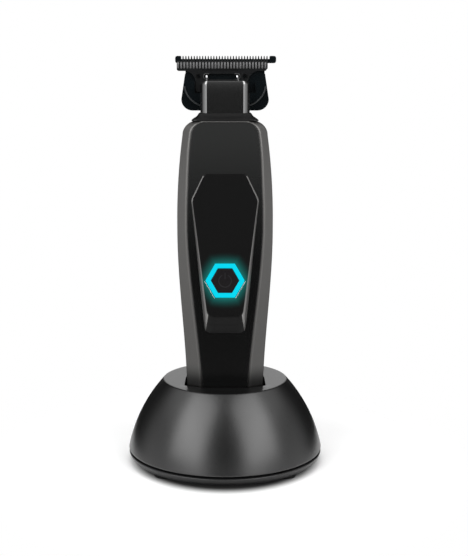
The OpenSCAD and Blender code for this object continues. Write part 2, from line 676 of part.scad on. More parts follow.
module motor_end_cap() color("#20242a") seated() difference() {
    union() {
        motor_form(motor_r, motor_flat, motor_z - 2.4, motor_z);
        motor_form(motor_r - can_t, motor_flat - 2 * can_t, motor_z, motor_z + 1);
    }
    on_drive(motor_z - far) cylinder(r = bush_r, h = 2 * far);
}
module motor_bushes() color("#b08a4a") seated() for (z = [motor_z - 2.4, motor_z + motor_len - can_t])
    on_drive(z) difference() {
        cylinder(r = bush_r, h = can_t + nose_len);
        translate([0, 0, -1]) cylinder(r = shaft_r + run, h = far);
    }
module rotor_magnet() color("#3c3f42") seated() on_drive(rotor_low) difference() {
    cylinder(r = rotor_r, h = rotor_high - rotor_low);
    translate([0, 0, -1]) cylinder(r = shaft_r, h = far);
}
module motor_shaft() color("#c9ccd0") seated()
    on_drive(motor_z - 1.9) cylinder(r = shaft_r, h = cam_top - 1 - motor_z + 1.9);
// Two rings round the motor, tied by ears to the shells' upper screws
module motor_cradle() color("#d9d6cc") seated() difference() {
    union() {
        motor_form(motor_r + cradle_side, motor_flat + 2 * cradle_flat,
            high_screw[1] - cradle_h / 2, high_screw[1] + cradle_h / 2);
        pair() block([motor_r - 1, seam_y - chassis_t, high_screw[1] - 2],
                     [high_screw[0], seam_y, high_screw[1] + 2]);
        pair() rod_y(screw_boss_r, seam_y - chassis_t, seam_y, high_screw[0], high_screw[1]);
    }
    motor_form(motor_r + run, motor_flat + 2 * run, 0, 2 * body_len);
    pair() rod_y(screw_r + fit, -far, far, high_screw[0], high_screw[1]);
}
module drive_cam() color("#e4e1d6") seated() {
    on_drive(cam_top - cam_h) difference() {
        cylinder(r = cam_r, h = cam_h);
        translate([0, 0, -1]) cylinder(r = shaft_r, h = cam_h);
    }
    on_drive(cam_top) translate([-crank, 0, 0]) cylinder(r = crank_pin_r, h = pin_end - cam_top);
}

// ---- head ----
neck_side_y = -neck_front + (neck_w - neck_flat_w) / 2;      // where the neck's bevels meet its sides
module neck_prism(grow, z0, z1) let (w = neck_w / 2 + grow, flat = neck_flat_w / 2 + 0.4 * grow)
    translate([0, 0, z0]) linear_extrude(z1 - z0) polygon([
        [-w, mount_front - fit], [-w, neck_side_y - 0.4 * grow], [-flat, -neck_front - grow],
        [flat, -neck_front - grow], [w, neck_side_y - 0.4 * grow], [w, mount_front - fit]]);
neck_root = body_len - 6;
module neck_housing() color("#2b2e30") seated() difference() {
    neck_prism(0, neck_root, neck_top);
    difference() {
        neck_prism(-neck_wall, neck_root - 1, neck_top - neck_wall);
        pair() rod_y(neck_boss_r, -far, far, blade_screw_x, screw_z);
    }
    block([-neck_w / 2 + neck_wall, mount_front - 1.6, neck_root], [neck_w / 2 - neck_wall, far, neck_top + 1]);
    pair() rod_y(blade_screw_r, -neck_front + 2.4, far, blade_screw_x, screw_z);
}
module collar_slab(w, y0, y1, z) translate([0, 0, z]) linear_extrude(collar_edge)
    round_rect(w, y0, y1, collar_corner, $fn = 32);
module neck_collar() color("#121416") seated() difference() {
    hull() {
        collar_slab(collar_w, -front_top + collar_margin, back_top - 5 * collar_margin, body_len);
        collar_slab(neck_w + 2 * collar_margin, -neck_front - collar_margin, blade_y + 2 * collar_margin,
            body_len + collar_h - collar_edge);
    }
    neck_opening();
}
// outline of the blade's wings, drawn in at the sides and the lower edge, with round lower corners
function wing_side(side_in, low_in, r) = concat(
    [for (i = [0 : 8]) let (a = -90 + 90 * i / 8)
        [wing_w / 2 - side_in - r + r * cos(a), wing_bottom + low_in + r + r * sin(a)]],
    [[wing_top_w / 2 - side_in, bar_bottom + 1]]);
module wing_shape(side_in = 0, low_in = 0, r = wing_corner_r) let (side = wing_side(side_in, low_in, r))
    polygon(concat(side, [for (i = [len(side) - 1 : -1 : 0]) [-side[i][0], side[i][1]]]));
// The plate that carries the blades, hollow where the moving blade and its follower run
module blade_mount() color("#15181a") seated() difference() {
    front_prism(mount_front, blade_y) {
        intersection() {
            wing_shape(mount_side, mount_low, mount_corner_r);
            translate([-far, 0]) square([2 * far, neck_top]);
        }
        translate([-neck_w / 2, neck_root]) square([neck_w, wing_bottom + mount_low + 1 - neck_root]);
    }
    front_prism(-far, far) {
        translate([-stem_w / 2 - crank - 0.35, stem_bottom - 0.4]) square([stem_w + stroke + 0.7, far]);
        translate([-fork_x - fork_wall - crank - 0.3, follower_bottom - 0.4])
            square([2 * (fork_x + fork_wall + crank + 0.3), far]);
    }
    pair() rod_y(blade_screw_r + run, -far, far, blade_screw_x, screw_z);
}
comb_n = floor((blade_w / 2 - tab_w - tooth_gap / 2) / comb_pitch);
module fixed_blade() color("#101214") seated() difference() {
    front_prism(blade_y, blade_y + fixed_t) difference() {
        union() {
            wing_shape();
            translate([0, bar_bottom - 0.2]) round_rect(blade_w, 0, tip_z - bar_bottom + 0.2, 1);
        }
        pair() translate([blade_screw_x, screw_z]) circle(r = blade_screw_r + fit);
    }
    for (i = [-comb_n : comb_n]) translate([i * comb_pitch - tooth_gap / 2, 0, tip_z - comb_depth])
        cube([tooth_gap, far, far]);
}
module blade_screws() color("#26292c") seated() pair() {
    rod_y(blade_screw_r, -neck_front + 2.6, blade_y + fixed_t, blade_screw_x, screw_z);
    difference() {
        rod_y(2.3, blade_y + fixed_t, blade_y + fixed_t + 1.5, blade_screw_x, screw_z);
        translate([blade_screw_x, 0, screw_z]) for (a = [0, 90]) rotate([0, a, 0])
            block([-1.4, blade_y + fixed_t + 0.9, -0.3], [1.4, far, 0.3]);
    }
}
module blade_spring() color("#d5d8dc") seated() {
    foot_x = fork_x + fork_wall + crank + wire_r + 0.5;
    wire([-foot_x, spring_y, spring_z], [foot_x, spring_y, spring_z], wire_r);
    for (s = [-1, 1]) {
        tip = [cutter_x + s * spring_w / 2, spring_y, slot_z];
        wire([s * foot_x, spring_y, spring_z], tip, wire_r);
        wire(tip, tip + [0, blade_y - 0.6 - wire_r - spring_y, 0], wire_r);
    }
}
cutter_n = floor((cutter_w / 2 - 1.2) / cutter_pitch);
module cutter_shape() difference() {
    union() {
        translate([0, cutter_bar_bottom]) round_rect(cutter_w, 0, cutter_bar_h, 0.9);
        translate([0, stem_bottom]) round_rect(stem_w, 0, cutter_bar_bottom - stem_bottom + 1, 1);
        pair() difference() {
            translate([stem_w / 2 - 0.1, cutter_bar_bottom - cutter_fillet])
                square([cutter_fillet + 0.1, cutter_fillet + 0.1]);
            translate([stem_w / 2 + cutter_fillet, cutter_bar_bottom - cutter_fillet]) circle(r = cutter_fillet);
        }
    }
    translate([-spring_w / 2, slot_z - slot_h / 2]) square([spring_w, slot_h]);
    pair() translate([spring_w / 2, slot_z]) circle(r = keyhole_r);
    pair() translate([stem_w / 2 - 2.25 * lock_hole_r, slot_z]) circle(r = lock_hole_r);
    translate([0, peg_z]) circle(r = peg_r);
}
module moving_blade() color("#6f7375") seated() translate([cutter_x, 0, 0]) difference() {
    front_prism(cutter_y, cutter_y + moving_t) cutter_shape();
    for (i = [-cutter_n : cutter_n])
        translate([(i - 0.5) * cutter_pitch - tooth_gap / 2, -far / 2, cutter_top - cutter_teeth])
            cube([tooth_gap, far, far]);
}
module cam_follower() color("#e4e1d6") seated() translate([cutter_x, 0, 0]) {
    difference() {
        block([-fork_x - fork_wall, drive_y - fork_y - fork_wall, follower_bottom],
              [fork_x + fork_wall, cutter_y, follower_top]);
        block([-fork_x, drive_y - fork_y, 0], [fork_x, drive_y + fork_y, pin_end + 0.3]);
    }
    rod_y(peg_r, cutter_y - 0.5, cutter_y + moving_t - fit, 0, peg_z);
}

stand_shell();
stand_cup();
stand_base();
stand_weight();
stand_feet();
stand_screws();
pin_block();
charge_board();
inlet_jack();
pin_spring(-1);  // pin_spring_left
pin_spring(1);  // pin_spring_right
contact_pin(-1);  // contact_pin_left
contact_pin(1);  // contact_pin_right
front_shell();
rear_shell();
face_plate();
button_pad();
light_ring();
foot_cap();
charge_pads();
body_screws();
chassis();
battery_cell();
battery_tabs();
control_board();
board_chips();
tact_switch();
status_leds();
motor_can();
stator_core();
stator_coils();
motor_end_cap();
motor_bushes();
motor_cradle();
neck_collar();
neck_housing();
blade_mount();
fixed_blade();
blade_screws();
blade_spring();
moving_blade();
cam_follower();
rotor_magnet();
motor_shaft();
drive_cam();
power_button();
switch_plunger();
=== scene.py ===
# %% [markdown]
# # A cordless trimmer in its charging stand
#
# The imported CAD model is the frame: every piece below is made in the same place and size as the solid it
# dresses. The outside of the trimmer is a long smooth body with bevelled edges, so its shells are lofted
# through many cross-sections. The stand is turned, the blades are cut plates with rows of teeth, and the
# rest is small trim. Sizes are in millimetres until a mesh is made. Heights on the trimmer are measured
# from its own foot, and SEAT lifts them to where it sits in the stand.

# %% Load the frame
import json
from math import cos, hypot, pi, radians, sin, sqrt, tan

import bmesh
import bpy
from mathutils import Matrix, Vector
from mathutils.geometry import tessellate_polygon

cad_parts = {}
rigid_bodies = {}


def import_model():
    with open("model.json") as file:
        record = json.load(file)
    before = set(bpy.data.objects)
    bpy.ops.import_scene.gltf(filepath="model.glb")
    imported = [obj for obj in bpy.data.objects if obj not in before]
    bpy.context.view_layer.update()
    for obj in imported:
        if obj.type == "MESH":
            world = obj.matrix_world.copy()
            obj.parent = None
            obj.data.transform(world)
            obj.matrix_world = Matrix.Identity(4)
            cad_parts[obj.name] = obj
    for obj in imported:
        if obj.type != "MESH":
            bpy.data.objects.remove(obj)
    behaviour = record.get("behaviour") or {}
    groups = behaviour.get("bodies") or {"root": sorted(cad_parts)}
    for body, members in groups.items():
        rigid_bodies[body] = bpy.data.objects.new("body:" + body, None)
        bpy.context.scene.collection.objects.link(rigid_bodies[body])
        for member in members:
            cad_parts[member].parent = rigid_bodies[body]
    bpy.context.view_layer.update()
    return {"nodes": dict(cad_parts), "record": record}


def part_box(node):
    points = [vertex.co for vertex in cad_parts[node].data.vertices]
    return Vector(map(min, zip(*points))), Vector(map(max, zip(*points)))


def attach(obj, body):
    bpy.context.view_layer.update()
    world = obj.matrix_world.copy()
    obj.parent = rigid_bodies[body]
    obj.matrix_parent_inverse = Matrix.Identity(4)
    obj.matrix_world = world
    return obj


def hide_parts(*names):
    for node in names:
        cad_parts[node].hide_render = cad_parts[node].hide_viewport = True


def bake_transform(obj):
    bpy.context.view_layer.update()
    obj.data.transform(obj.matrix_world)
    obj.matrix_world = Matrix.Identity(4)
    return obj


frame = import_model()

scene = bpy.context.scene
nodes = frame["nodes"]
MM = 0.001

# %% [markdown]
# ## The camera
#
# A product picture is taken from far away with a long lens, so the sides of the object stay nearly
# parallel. The camera comes first because every later choice is judged through it. It stands about level
# with the blades and looks a little down, and a small shift puts the axis of the trimmer left of the
# middle.

# %% Camera
LOOK_DOWN = 9.8
camera_data = bpy.data.cameras.new("camera")
camera_data.lens = 69.93
camera_data.sensor_width = 36
camera_data.shift_x = 0.0161
camera = bpy.data.objects.new("camera", camera_data)
camera.location = (0, -0.451, 0.1565)
camera.rotation_euler = (radians(90 - LOOK_DOWN), 0, 0)
scene.collection.objects.link(camera)
scene.camera = camera
print("camera: lens", camera_data.lens, "mm")

# %% [markdown]
# ## Turning points into pieces
#
# Most pieces are a stack of rings joined by quads. A ring is a closed line of points, and two neighbouring
# rings have the same number of points, so the faces between them follow from counting. Corners are rounded
# in the line itself, before the loft, because then the fillet runs along the whole edge.

# %% Helpers for rings
def rounded(points, radii, steps=4, closed=False):
    """The line with each corner replaced by a short curve."""
    line = []
    count = len(points)

    def radius_at(k):
        return radii[k] if isinstance(radii, (list, tuple)) else radii

    for i, point in enumerate(points):
        radius = radius_at(i)
        if radius <= 0 or (not closed and i in (0, count - 1)):
            line.append(tuple(point))
            continue
        here = Vector(point)
        before = Vector(points[i - 1]) - here
        after = Vector(points[(i + 1) % count]) - here
        half = before.angle(after) / 2
        # a neighbour that is rounded too leaves only half of the side free
        free = [0.48 if radius_at((i + k) % count) > 0 else 0.95 for k in (-1, 1)]
        reach = min(radius / tan(half), free[0] * before.length, free[1] * after.length)
        start = here + before.normalized() * reach
        end = here + after.normalized() * reach
        for k in range(steps + 1):
            t = k / steps
            line.append(tuple(start * (1 - t) ** 2 + here * (2 * t * (1 - t)) + end * t ** 2))
    return line


def fall(radius, past):
    """How far a quarter round of this radius has dropped, this far past its start."""
    return radius - sqrt(max(0, radius ** 2 - max(0, past) ** 2))


def mirrored(half):
    """A line on the right, and the same points on the left in the opposite order."""
    return half + [(-x, y) for x, y in half[::-1]]


# %% Helpers for surfaces
def loft(rings, ring_closed=True, cap_first=True, cap_last=True, stack_closed=False):
    """Points and faces of a surface through a stack of rings."""
    n = len(rings[0])
    points = [tuple(p) for ring in rings for p in ring]
    faces = []
    layers = len(rings) if stack_closed else len(rings) - 1
    for k in range(layers):
        a = k * n
        b = ((k + 1) % len(rings)) * n
        for i in range(n if ring_closed else n - 1):
            j = (i + 1) % n
            faces.append((a + i, a + j, b + j, b + i))
    if not stack_closed and cap_first:
        faces.append(tuple(range(n))[::-1])
    if not stack_closed and cap_last:
        faces.append(tuple(range((len(rings) - 1) * n, len(rings) * n)))
    return points, faces


def open_loft(rings, ring_closed=True):
    """A surface through a stack of rings, open at both ends."""
    return loft(rings, ring_closed, cap_first=False, cap_last=False)


def merge(*surfaces):
    """Several surfaces as one list of points and one list of faces."""
    points, faces = [], []
    for more, more_faces in surfaces:
        faces += [tuple(i + len(points) for i in face) for face in more_faces]
        points += more
    return points, faces


def smooth(obj, sharp=35):
    """Smooth shading that breaks at edges sharper than this angle."""
    obj.data.shade_smooth()
    obj.data.set_sharp_from_angle(angle=radians(sharp))


def piece(name, points, faces, sharp=35):
    """A mesh object from points in millimetres, with outward normals."""
    mesh = bpy.data.meshes.new(name)
    mesh.from_pydata([Vector(p) * MM for p in points], [], faces)
    work = bmesh.new()
    work.from_mesh(mesh)
    bmesh.ops.remove_doubles(work, verts=work.verts, dist=1e-6)
    bmesh.ops.recalc_face_normals(work, faces=work.faces)
    work.to_mesh(mesh)
    work.free()
    obj = bpy.data.objects.new(name, mesh)
    scene.collection.objects.link(obj)
    smooth(obj, sharp)
    return obj


# %% [markdown]
# ## The shape of the body
#
# One rule gives every cross-section of the trimmer: how wide it is at a height, how far its front and back
# stand from the axis, and how wide the bevel beside the face is. The CAD source uses the same rule, and
# here it is only sampled more finely, so that the shells look smooth.

# %% Sizes of the body
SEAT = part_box("foot_cap")[0].z / MM
BODY_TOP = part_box("rear_shell")[1].z / MM - SEAT
CAP_H = 2.4
WIDEN_Z, WIDEST_Z, NARROW_Z = 18.0, 88.0, 92.0
GRIP_Z = 80.0
FOOT_W, GRIP_W, SHOULDER_W = 31.8, 39.1, 34.5
SHOULDER_R = 5.6
SHOULDER_Z = BODY_TOP - SHOULDER_R
FRONT_DEPTH = (14.6, 16.0, 14.0)
BACK_DEPTH = (14.4, 18.0, 13.0)
BEVEL_W, BEVEL_FOOT_W, BEVEL_D, LIP_W = 3.3, 6.4, 3.5, 0.95
FLARE_W, FLARE_Z, FLARE_H = 0.6, 105, 20
RIM_R = 0.35
FACE_TOP = BODY_TOP - RIM_R
FACE_R = 4.4
print("body:", round(BODY_TOP, 1), "mm long, grip", GRIP_W, "mm wide")

# %% The rule of the body
def ease(t):
    t = min(max(t, 0), 1)
    return t * t * (3 - 2 * t)


def side_w(z):
    """Half the width of the body, before its shoulders are rounded."""
    grow = (GRIP_W - FOOT_W) / 2 * ease((z - WIDEN_Z) / (WIDEST_Z - WIDEN_Z))
    shrink = (GRIP_W - SHOULDER_W) / 2 * (max(0, z - NARROW_Z) / (SHOULDER_Z - NARROW_Z)) ** 2
    return FOOT_W / 2 + grow - shrink


def half_w(z):
    return side_w(min(z, SHOULDER_Z)) - fall(SHOULDER_R, z - SHOULDER_Z)


def belly(z, foot, grip, top):
    """A bulging side: its depth at the foot, at the grip and at the top."""
    if z < GRIP_Z:
        return grip - (grip - foot) * ((GRIP_Z - z) / GRIP_Z) ** 2
    return grip - (grip - top) * ((z - GRIP_Z) / (BODY_TOP - GRIP_Z)) ** 2


def front(z):
    return belly(z, *FRONT_DEPTH)


def back(z):
    return belly(z, *BACK_DEPTH)


def face_w(z):
    """Half the width of the flat face between the bevels."""
    bevel = BEVEL_W + (BEVEL_FOOT_W - BEVEL_W) * max(0, WIDEST_Z - z) / WIDEST_Z
    flat = side_w(z) - bevel - LIP_W + FLARE_W * ease((z - FLARE_Z) / FLARE_H)
    return flat - fall(FACE_R, z - (FACE_TOP - FACE_R))


# %% Heights of the cross-sections
BODY_STEPS, CORNER_STEPS = 64, 10


def heights(low, high):
    """Where a shell is cut: evenly up to the shoulders, then closer, as the corners turn."""
    line = [low + (SHOULDER_Z - low) * i / BODY_STEPS for i in range(BODY_STEPS + 1)]
    turns = [sin(pi / 2 * i / CORNER_STEPS) for i in range(CORNER_STEPS)]
    corner = [SHOULDER_Z + SHOULDER_R * turn for turn in turns[1:]]
    corner += [FACE_TOP - FACE_R * (1 - turn) for turn in turns]
    corner += [FACE_TOP + up for up in (-0.02, 0, 0.1, 0.2, 0.27, 0.32)]
    return line + sorted(z for z in corner if z < high - 0.05) + [high]


def lift(ring, z):
    """A flat ring of the trimmer as points in space."""
    return [(x, y, z + SEAT) for x, y in ring]


print("cross-sections:", len(heights(CAP_H, BODY_TOP)))

# %% [markdown]
# ## The two shells
#
# The real shells are cast halves that meet on a seam along the sides. The front one carries the wide bevels
# and steps back behind the face plate. Each ring runs along the outside from seam to seam and returns on
# the inside, so the loft is a closed shell with a real wall. Small fillets run along the bevel, where the
# metal catches the light.

# %% Front shell
SEAM_Y = -7.5
SEAM_GAP, SEAM_IN, SEAM_OUT = 0.06, 0.25, 0.4
WALL = 2.0
PLATE_T = 1.4
STEP_W = 0.75


def front_ring(z):
    w, fw = half_w(z), face_w(z)
    face_y = -front(z) + fall(RIM_R, z - FACE_TOP)
    bevel_y = -front(z) + BEVEL_D
    step = PLATE_T + 0.1 if z < FACE_TOP - 0.01 else 0.06
    half = [(w - SEAM_IN, SEAM_Y - SEAM_GAP), (w, SEAM_Y - SEAM_OUT), (w, bevel_y), (fw + STEP_W, face_y),
            (fw, face_y + 0.05), (fw - 0.05, face_y + step)]
    inside = [(-w + WALL, SEAM_Y - SEAM_GAP), (-w + WALL, bevel_y + 1), (-fw + 1, face_y + PLATE_T + 1.7)]
    fillets = [0, 0.3, 1.1, 3, 0, 0, 0, 0, 3, 1.1, 0.3, 0] + [0] * 6
    return rounded(mirrored(half) + mirrored(inside), fillets, steps=6)


front_zs = heights(CAP_H, BODY_TOP)
front_shell = piece("front_shell_cast", *loft([lift(front_ring(z), z) for z in front_zs]), sharp=40)
print("front shell:", len(front_shell.data.polygons), "faces")

# %% [markdown]
# ## The back of the body and its screw holes
#
# The back fits the palm, so its section is fuller than an ellipse: the power of the sine and cosine is
# below 1. The screw holes are cut with plain rods by a Boolean modifier, and the result is kept as plain
# mesh, because a piece that is finished needs no modifier any more.

# %% Rear shell
SIDE_Y = -4.0
TOP_R = 1.2
BACK_POWER = 0.8
BACK_STEPS = 48


def rear_ring(z):
    w = half_w(z)
    b = back(z) - fall(TOP_R, z - BODY_TOP + TOP_R)
    outside = [(w - SEAM_IN, SEAM_Y + SEAM_GAP), (w, SEAM_Y + SEAM_OUT)]
    for i in range(BACK_STEPS + 1):
        a = pi * i / BACK_STEPS
        x = w * (1 if cos(a) > 0 else -1) * abs(cos(a)) ** BACK_POWER
        outside.append((x, SIDE_Y + (b - SIDE_Y) * abs(sin(a)) ** BACK_POWER))
    outside += [(-w, SEAM_Y + SEAM_OUT), (-w + SEAM_IN, SEAM_Y + SEAM_GAP)]
    narrower = (w - WALL) / w
    flatter = (b - WALL - SIDE_Y) / (b - SIDE_Y)
    inside = [(x * narrower, y if y < SIDE_Y else SIDE_Y + (y - SIDE_Y) * flatter) for x, y in outside[::-1]]
    return outside + inside


rear_zs = sorted(front_zs + [BODY_TOP - TOP_R * (1 - sin(pi / 2 * i / 8)) for i in range(8)])
rear_shell = piece("rear_shell_cast", *loft([lift(rear_ring(z), z) for z in rear_zs]), sharp=40)

# %% Screw holes
ROD_STEPS = 48


def bake(obj):
    """Turns the modifiers of a piece into plain mesh."""
    bpy.context.view_layer.update()
    result = bpy.data.meshes.new_from_object(obj.evaluated_get(bpy.context.evaluated_depsgraph_get()))
    obj.modifiers.clear()
    obj.data = result


def settle(obj, sharp=35):
    """Bakes a piece and shades it again."""
    bake(obj)
    smooth(obj, sharp)
    return obj


def rod(radius, start, end):
    """A plain cylinder between two points, used to drill holes."""
    start = Vector(start)
    end = Vector(end)
    across = (end - start).orthogonal().normalized()
    other = (end - start).normalized().cross(across)
    turns = [2 * pi * i / ROD_STEPS for i in range(ROD_STEPS)]
    rings = [[tuple(at + radius * (across * cos(a) + other * sin(a))) for a in turns] for at in (start, end)]
    return piece("drill", *loft(rings))


def cut(obj, cutter, sharp=35):
    """Cuts one piece with another, which is then thrown away."""
    boolean = obj.modifiers.new("cut", "BOOLEAN")
    boolean.operation = "DIFFERENCE"
    boolean.object = cutter
    boolean.solver = "EXACT"
    settle(obj, sharp)
    bpy.data.objects.remove(cutter)


SCREW_HOLE_R = 2.2
DRILL_IN, DRILL_OUT = 9, 30
for x, z in ((12.4, 38.0), (14.2, BODY_TOP - 23.5)):
    for s in (-1, 1):
        cut(rear_shell, rod(SCREW_HOLE_R, (s * x, DRILL_IN, z + SEAT), (s * x, DRILL_OUT, z + SEAT)), 40)
print("rear shell:", len(rear_shell.data.polygons), "faces")

# %% [markdown]
# ## The face plate
#
# The face is a satin black plate let into the front shell, with a hair of a gap round it. It follows the
# same rule as the shell, so it is lofted through the same heights, and extra rings at both ends round its
# short edges.

# %% Face plate
PLATE_LOW = 6.0
PLATE_TOP = FACE_TOP - 0.08
PLATE_R = 0.25
PLATE_GAP, PLATE_SUNK = 0.1, 0.12


def plate_ring(z):
    drop = fall(PLATE_R, PLATE_R - min(z - PLATE_LOW, PLATE_TOP - z))
    w = face_w(z) - PLATE_GAP
    y = -front(z) + PLATE_SUNK
    return rounded([(-w, y + 1.25), (-w, y + drop), (w, y + drop), (w, y + 1.25)], [0, 0.2, 0.2, 0])


plate_ends = [0, 0.03, 0.08, 0.16, PLATE_R]
plate_zs = [PLATE_LOW + k for k in plate_ends]
plate_zs += [z for z in heights(PLATE_LOW, PLATE_TOP) if PLATE_LOW + 0.3 < z < PLATE_TOP - 0.3]
plate_zs += [PLATE_TOP - k for k in plate_ends[::-1]]
face_plate = piece("face_plate_satin", *loft([lift(plate_ring(z), z) for z in plate_zs]))
print("face plate:", len(face_plate.data.polygons), "faces")

# %% [markdown]
# ## The raised pad
#
# On the plate stands a long coffin-shaped pad whose face leans forward towards its foot, so its edge is a
# thin line at the top and a broad bevel at the bottom. It is lofted from its outline on the plate to the
# outline of its face: a wall, a narrow step, a second wall, then a fillet. Each ring of the stack is given
# by how far it has moved in towards the face and how far it has risen.

# %% Outline of the pad
PAD_TOP, PAD_WIDE, PAD_KNEE, PAD_FOOT = 111.7, 101.2, 53.5, 45.7
# each corner: half width, height, and how far it moves in and down from the base to the face
PAD_CORNERS = [(8.2, PAD_FOOT, 1.1, PAD_FOOT - PAD_KNEE), (13.8, PAD_WIDE, 0.6, 0.2),
               (8.6, PAD_TOP, 0.25, 0.45)]
PAD_RADII = [3.4, 3, 2.4, 2.4, 3, 3.4]
PAD_STEPS = 8


def pad_y(z):
    """Where the leaning face of the pad is at a height."""
    high, low = -front(PAD_TOP) - 0.25, -front(PAD_KNEE) - 2.6
    return low + (high - low) * (z - PAD_KNEE) / (PAD_TOP - PAD_KNEE)


def pad_outline(t):
    """The pad's outline as (x, height), from its base at t = 0 to its face at t = 1."""
    half = [(x - move_in * t, z - move_down * t) for x, z, move_in, move_down in PAD_CORNERS]
    return rounded(mirrored(half), PAD_RADII, PAD_STEPS, closed=True)


def pad_ring(t, rise):
    base = [(x, -front(z) + 0.3, z) for x, z in pad_outline(t)]
    face = [(x, pad_y(max(z, PAD_KNEE)), z) for x, z in pad_outline(t)]
    return [(x, y0 + (y1 - y0) * rise, z + SEAT) for (x, y0, z), (_, y1, _) in zip(base, face)]


lean = (pad_y(PAD_TOP) - pad_y(PAD_KNEE)) / (PAD_TOP - PAD_KNEE)
print("pad leans", round(lean * 57.3, 2), "degrees")

# %% [markdown]
# ## The bright edge of the pad
#
# The two long edges of the pad are polished. A thin skin over the upper wall carries that finish, so it is
# the same loft once more, a hair further out, and only along the sides.

# %% Polished sides of the pad
edge_stack = [(0.1, 0.0), (-0.01, 0.14), (0.02, 0.2), (0.42, 0.60), (0.45, 0.58), (0.48, 0.58), (0.54, 0.66),
              (0.88, 0.92), (0.93, 0.94), (0.95, 0.9)]
edge_rings = [pad_ring(t, rise) for t, rise in edge_stack]
EDGE_FIRST, EDGE_LAST = 5, 20
outline_n = len(edge_rings[0])
sides = ((EDGE_FIRST, EDGE_LAST), (outline_n - 1 - EDGE_LAST, outline_n - 1 - EDGE_FIRST))
skins = [open_loft([ring[first:last + 1] for ring in edge_rings], ring_closed=False) for first, last in sides]
pad_edge = piece("pad_edge", *merge(*skins), sharp=50)
print("pad edge:", len(pad_edge.data.polygons), "faces")

# %% [markdown]
# ## The face of the pad and the seat of the ring
#
# The flat face has a six-sided hole for the light ring. An outline with a hole in it can't be one plain
# face, so it is filled with triangles, and a short stack of hexagons leads down from it into the pad.

# %% Pad
BUTTON_Z = 68.3
BUTTON_FLAT, RING_FLAT = 10.0, 13.8


def on_pad(x, up, out):
    """A point in the plane of the pad's face: across, up from the button's middle, and out of the face."""
    k = 1 / sqrt(1 + lean ** 2)
    return (x, pad_y(BUTTON_Z) + up * lean * k - out * k, BUTTON_Z + up * k + out * lean * k + SEAT)


def hexagon(flat, corner):
    r = flat / 2 / cos(pi / 6)
    return rounded([(r * cos(i * pi / 3), r * sin(i * pi / 3)) for i in range(6)], corner, 3, closed=True)


def lid(outline_start, outline, hole_start, hole):
    """Flat triangles between an outline and a hole in it, whose points start at these places in a mesh."""
    n = len(outline)
    triangles = tessellate_polygon([[Vector(p) for p in outline], [Vector(p) for p in hole]])
    return [tuple(outline_start + i if i < n else hole_start + i - n for i in t) for t in triangles]


pad_stack = [(0, 0), (0.06, 0.14), (0.46, 0.54), (0.52, 0.54), (0.58, 0.62), (0.92, 0.91), (1.0, 0.985),
             (1.08, 1.0)]
pad_rings = [pad_ring(t, rise) for t, rise in pad_stack]
seat_stack = [(0.7, 0), (0.55, -0.04), (0.2, -0.3), (0.2, -3.0)]
seat_rings = [[on_pad(x, up, out) for x, up in hexagon(RING_FLAT + wider, 0.5)] for wider, out in seat_stack]
points, faces = merge(loft(pad_rings, cap_last=False), open_loft(seat_rings))
faces += lid((len(pad_rings) - 1) * outline_n, pad_rings[-1], len(pad_rings) * outline_n, seat_rings[0])
pad = piece("thumb_pad", points, faces, sharp=30)
print("pad:", len(pad.data.polygons), "faces")

# %% [markdown]
# ## The power button and its light ring
#
# Both are hexagons set into the pad. The ring is a clear light guide, and the button moves inside it. They
# are stacks of hexagons of changing size and depth.

# %% Button and ring
def hex_stack(name, steps, closed=False):
    """A stack of hexagons from (size across the flats, distance out of the pad)."""
    rings = [[on_pad(x, up, out) for x, up in hexagon(flat, 0.45 * min(1, flat / 10))] for flat, out in steps]
    return piece(name, *loft(rings, stack_closed=closed), sharp=38)


light_ring = hex_stack("light_guide", [
    (RING_FLAT, -3.2), (RING_FLAT, -0.05), (RING_FLAT - 0.15, 0.1), (RING_FLAT - 0.4, 0.15),
    (BUTTON_FLAT + 0.9, 0.15), (BUTTON_FLAT + 0.45, 0.08), (BUTTON_FLAT + 0.3, -0.15),
    (BUTTON_FLAT + 0.3, -3.2)],
    closed=True)
button = hex_stack("button_cap", [
    (BUTTON_FLAT, -3.4), (BUTTON_FLAT, 0.1), (BUTTON_FLAT - 0.2, 0.28), (BUTTON_FLAT - 0.8, 0.35),
    (BUTTON_FLAT - 2, 0.33), (5, 0.26), (2, 0.22), (0.4, 0.21)])
print("button at", [round(v, 1) for v in on_pad(0, 0, 0)])

# %% [markdown]
# ## The collar
#
# A soft black collar leads from the wide shoulders to the narrow neck. Its rings go from one rounded
# rectangle to a smaller one, and the list says how far each ring is on that way and how high it stands: a
# short upright edge, then a slope that gets steeper.

# %% Collar
NECK_W, NECK_FLAT, NECK_FRONT, NECK_BACK, NECK_TOP = 10.1, 7.7, -10.0, -0.65, 148.5
foot_low, foot_high = (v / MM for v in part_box("neck_collar"))
COLLAR_FOOT = (foot_high.x + 0.35, foot_low.y, foot_high.y)
COLLAR_HEAD = (NECK_W + 0.5, NECK_FRONT - 0.3, 4.8)


def collar_ring(t, z):
    """From the wide foot of the collar at t = 0 to the neck at t = 1."""
    w, near, far = (foot + (head - foot) * t for foot, head in zip(COLLAR_FOOT, COLLAR_HEAD))
    return lift(rounded([(-w, near), (w, near), (w, far), (-w, far)], 2.6, 6, closed=True), z)


collar_slope = [(0.1, 0), (0.0, 0.12), (0.0, 0.4), (0.04, 0.6), (0.14, 0.85), (0.28, 1.1), (0.45, 1.4),
                (0.63, 1.8), (0.8, 2.3), (0.93, 2.9), (1.0, 3.15), (1.06, 3.2)]
collar = piece("collar_soft", *loft([collar_ring(t, BODY_TOP + up) for t, up in collar_slope]), sharp=50)
print("collar:", round(2 * COLLAR_FOOT[0], 1), "mm wide")

# %% [markdown]
# ## The neck
#
# The neck is a glossy hood over the drive: two sides, tapered corners that draw a bright line each, and a
# flat front that leans back a little at the top. It is open at the back, where the blades stand. A wall of
# rings with an inside makes the sides, smaller and smaller outlines make the rounded roof, and a flat slab
# closes it from below.

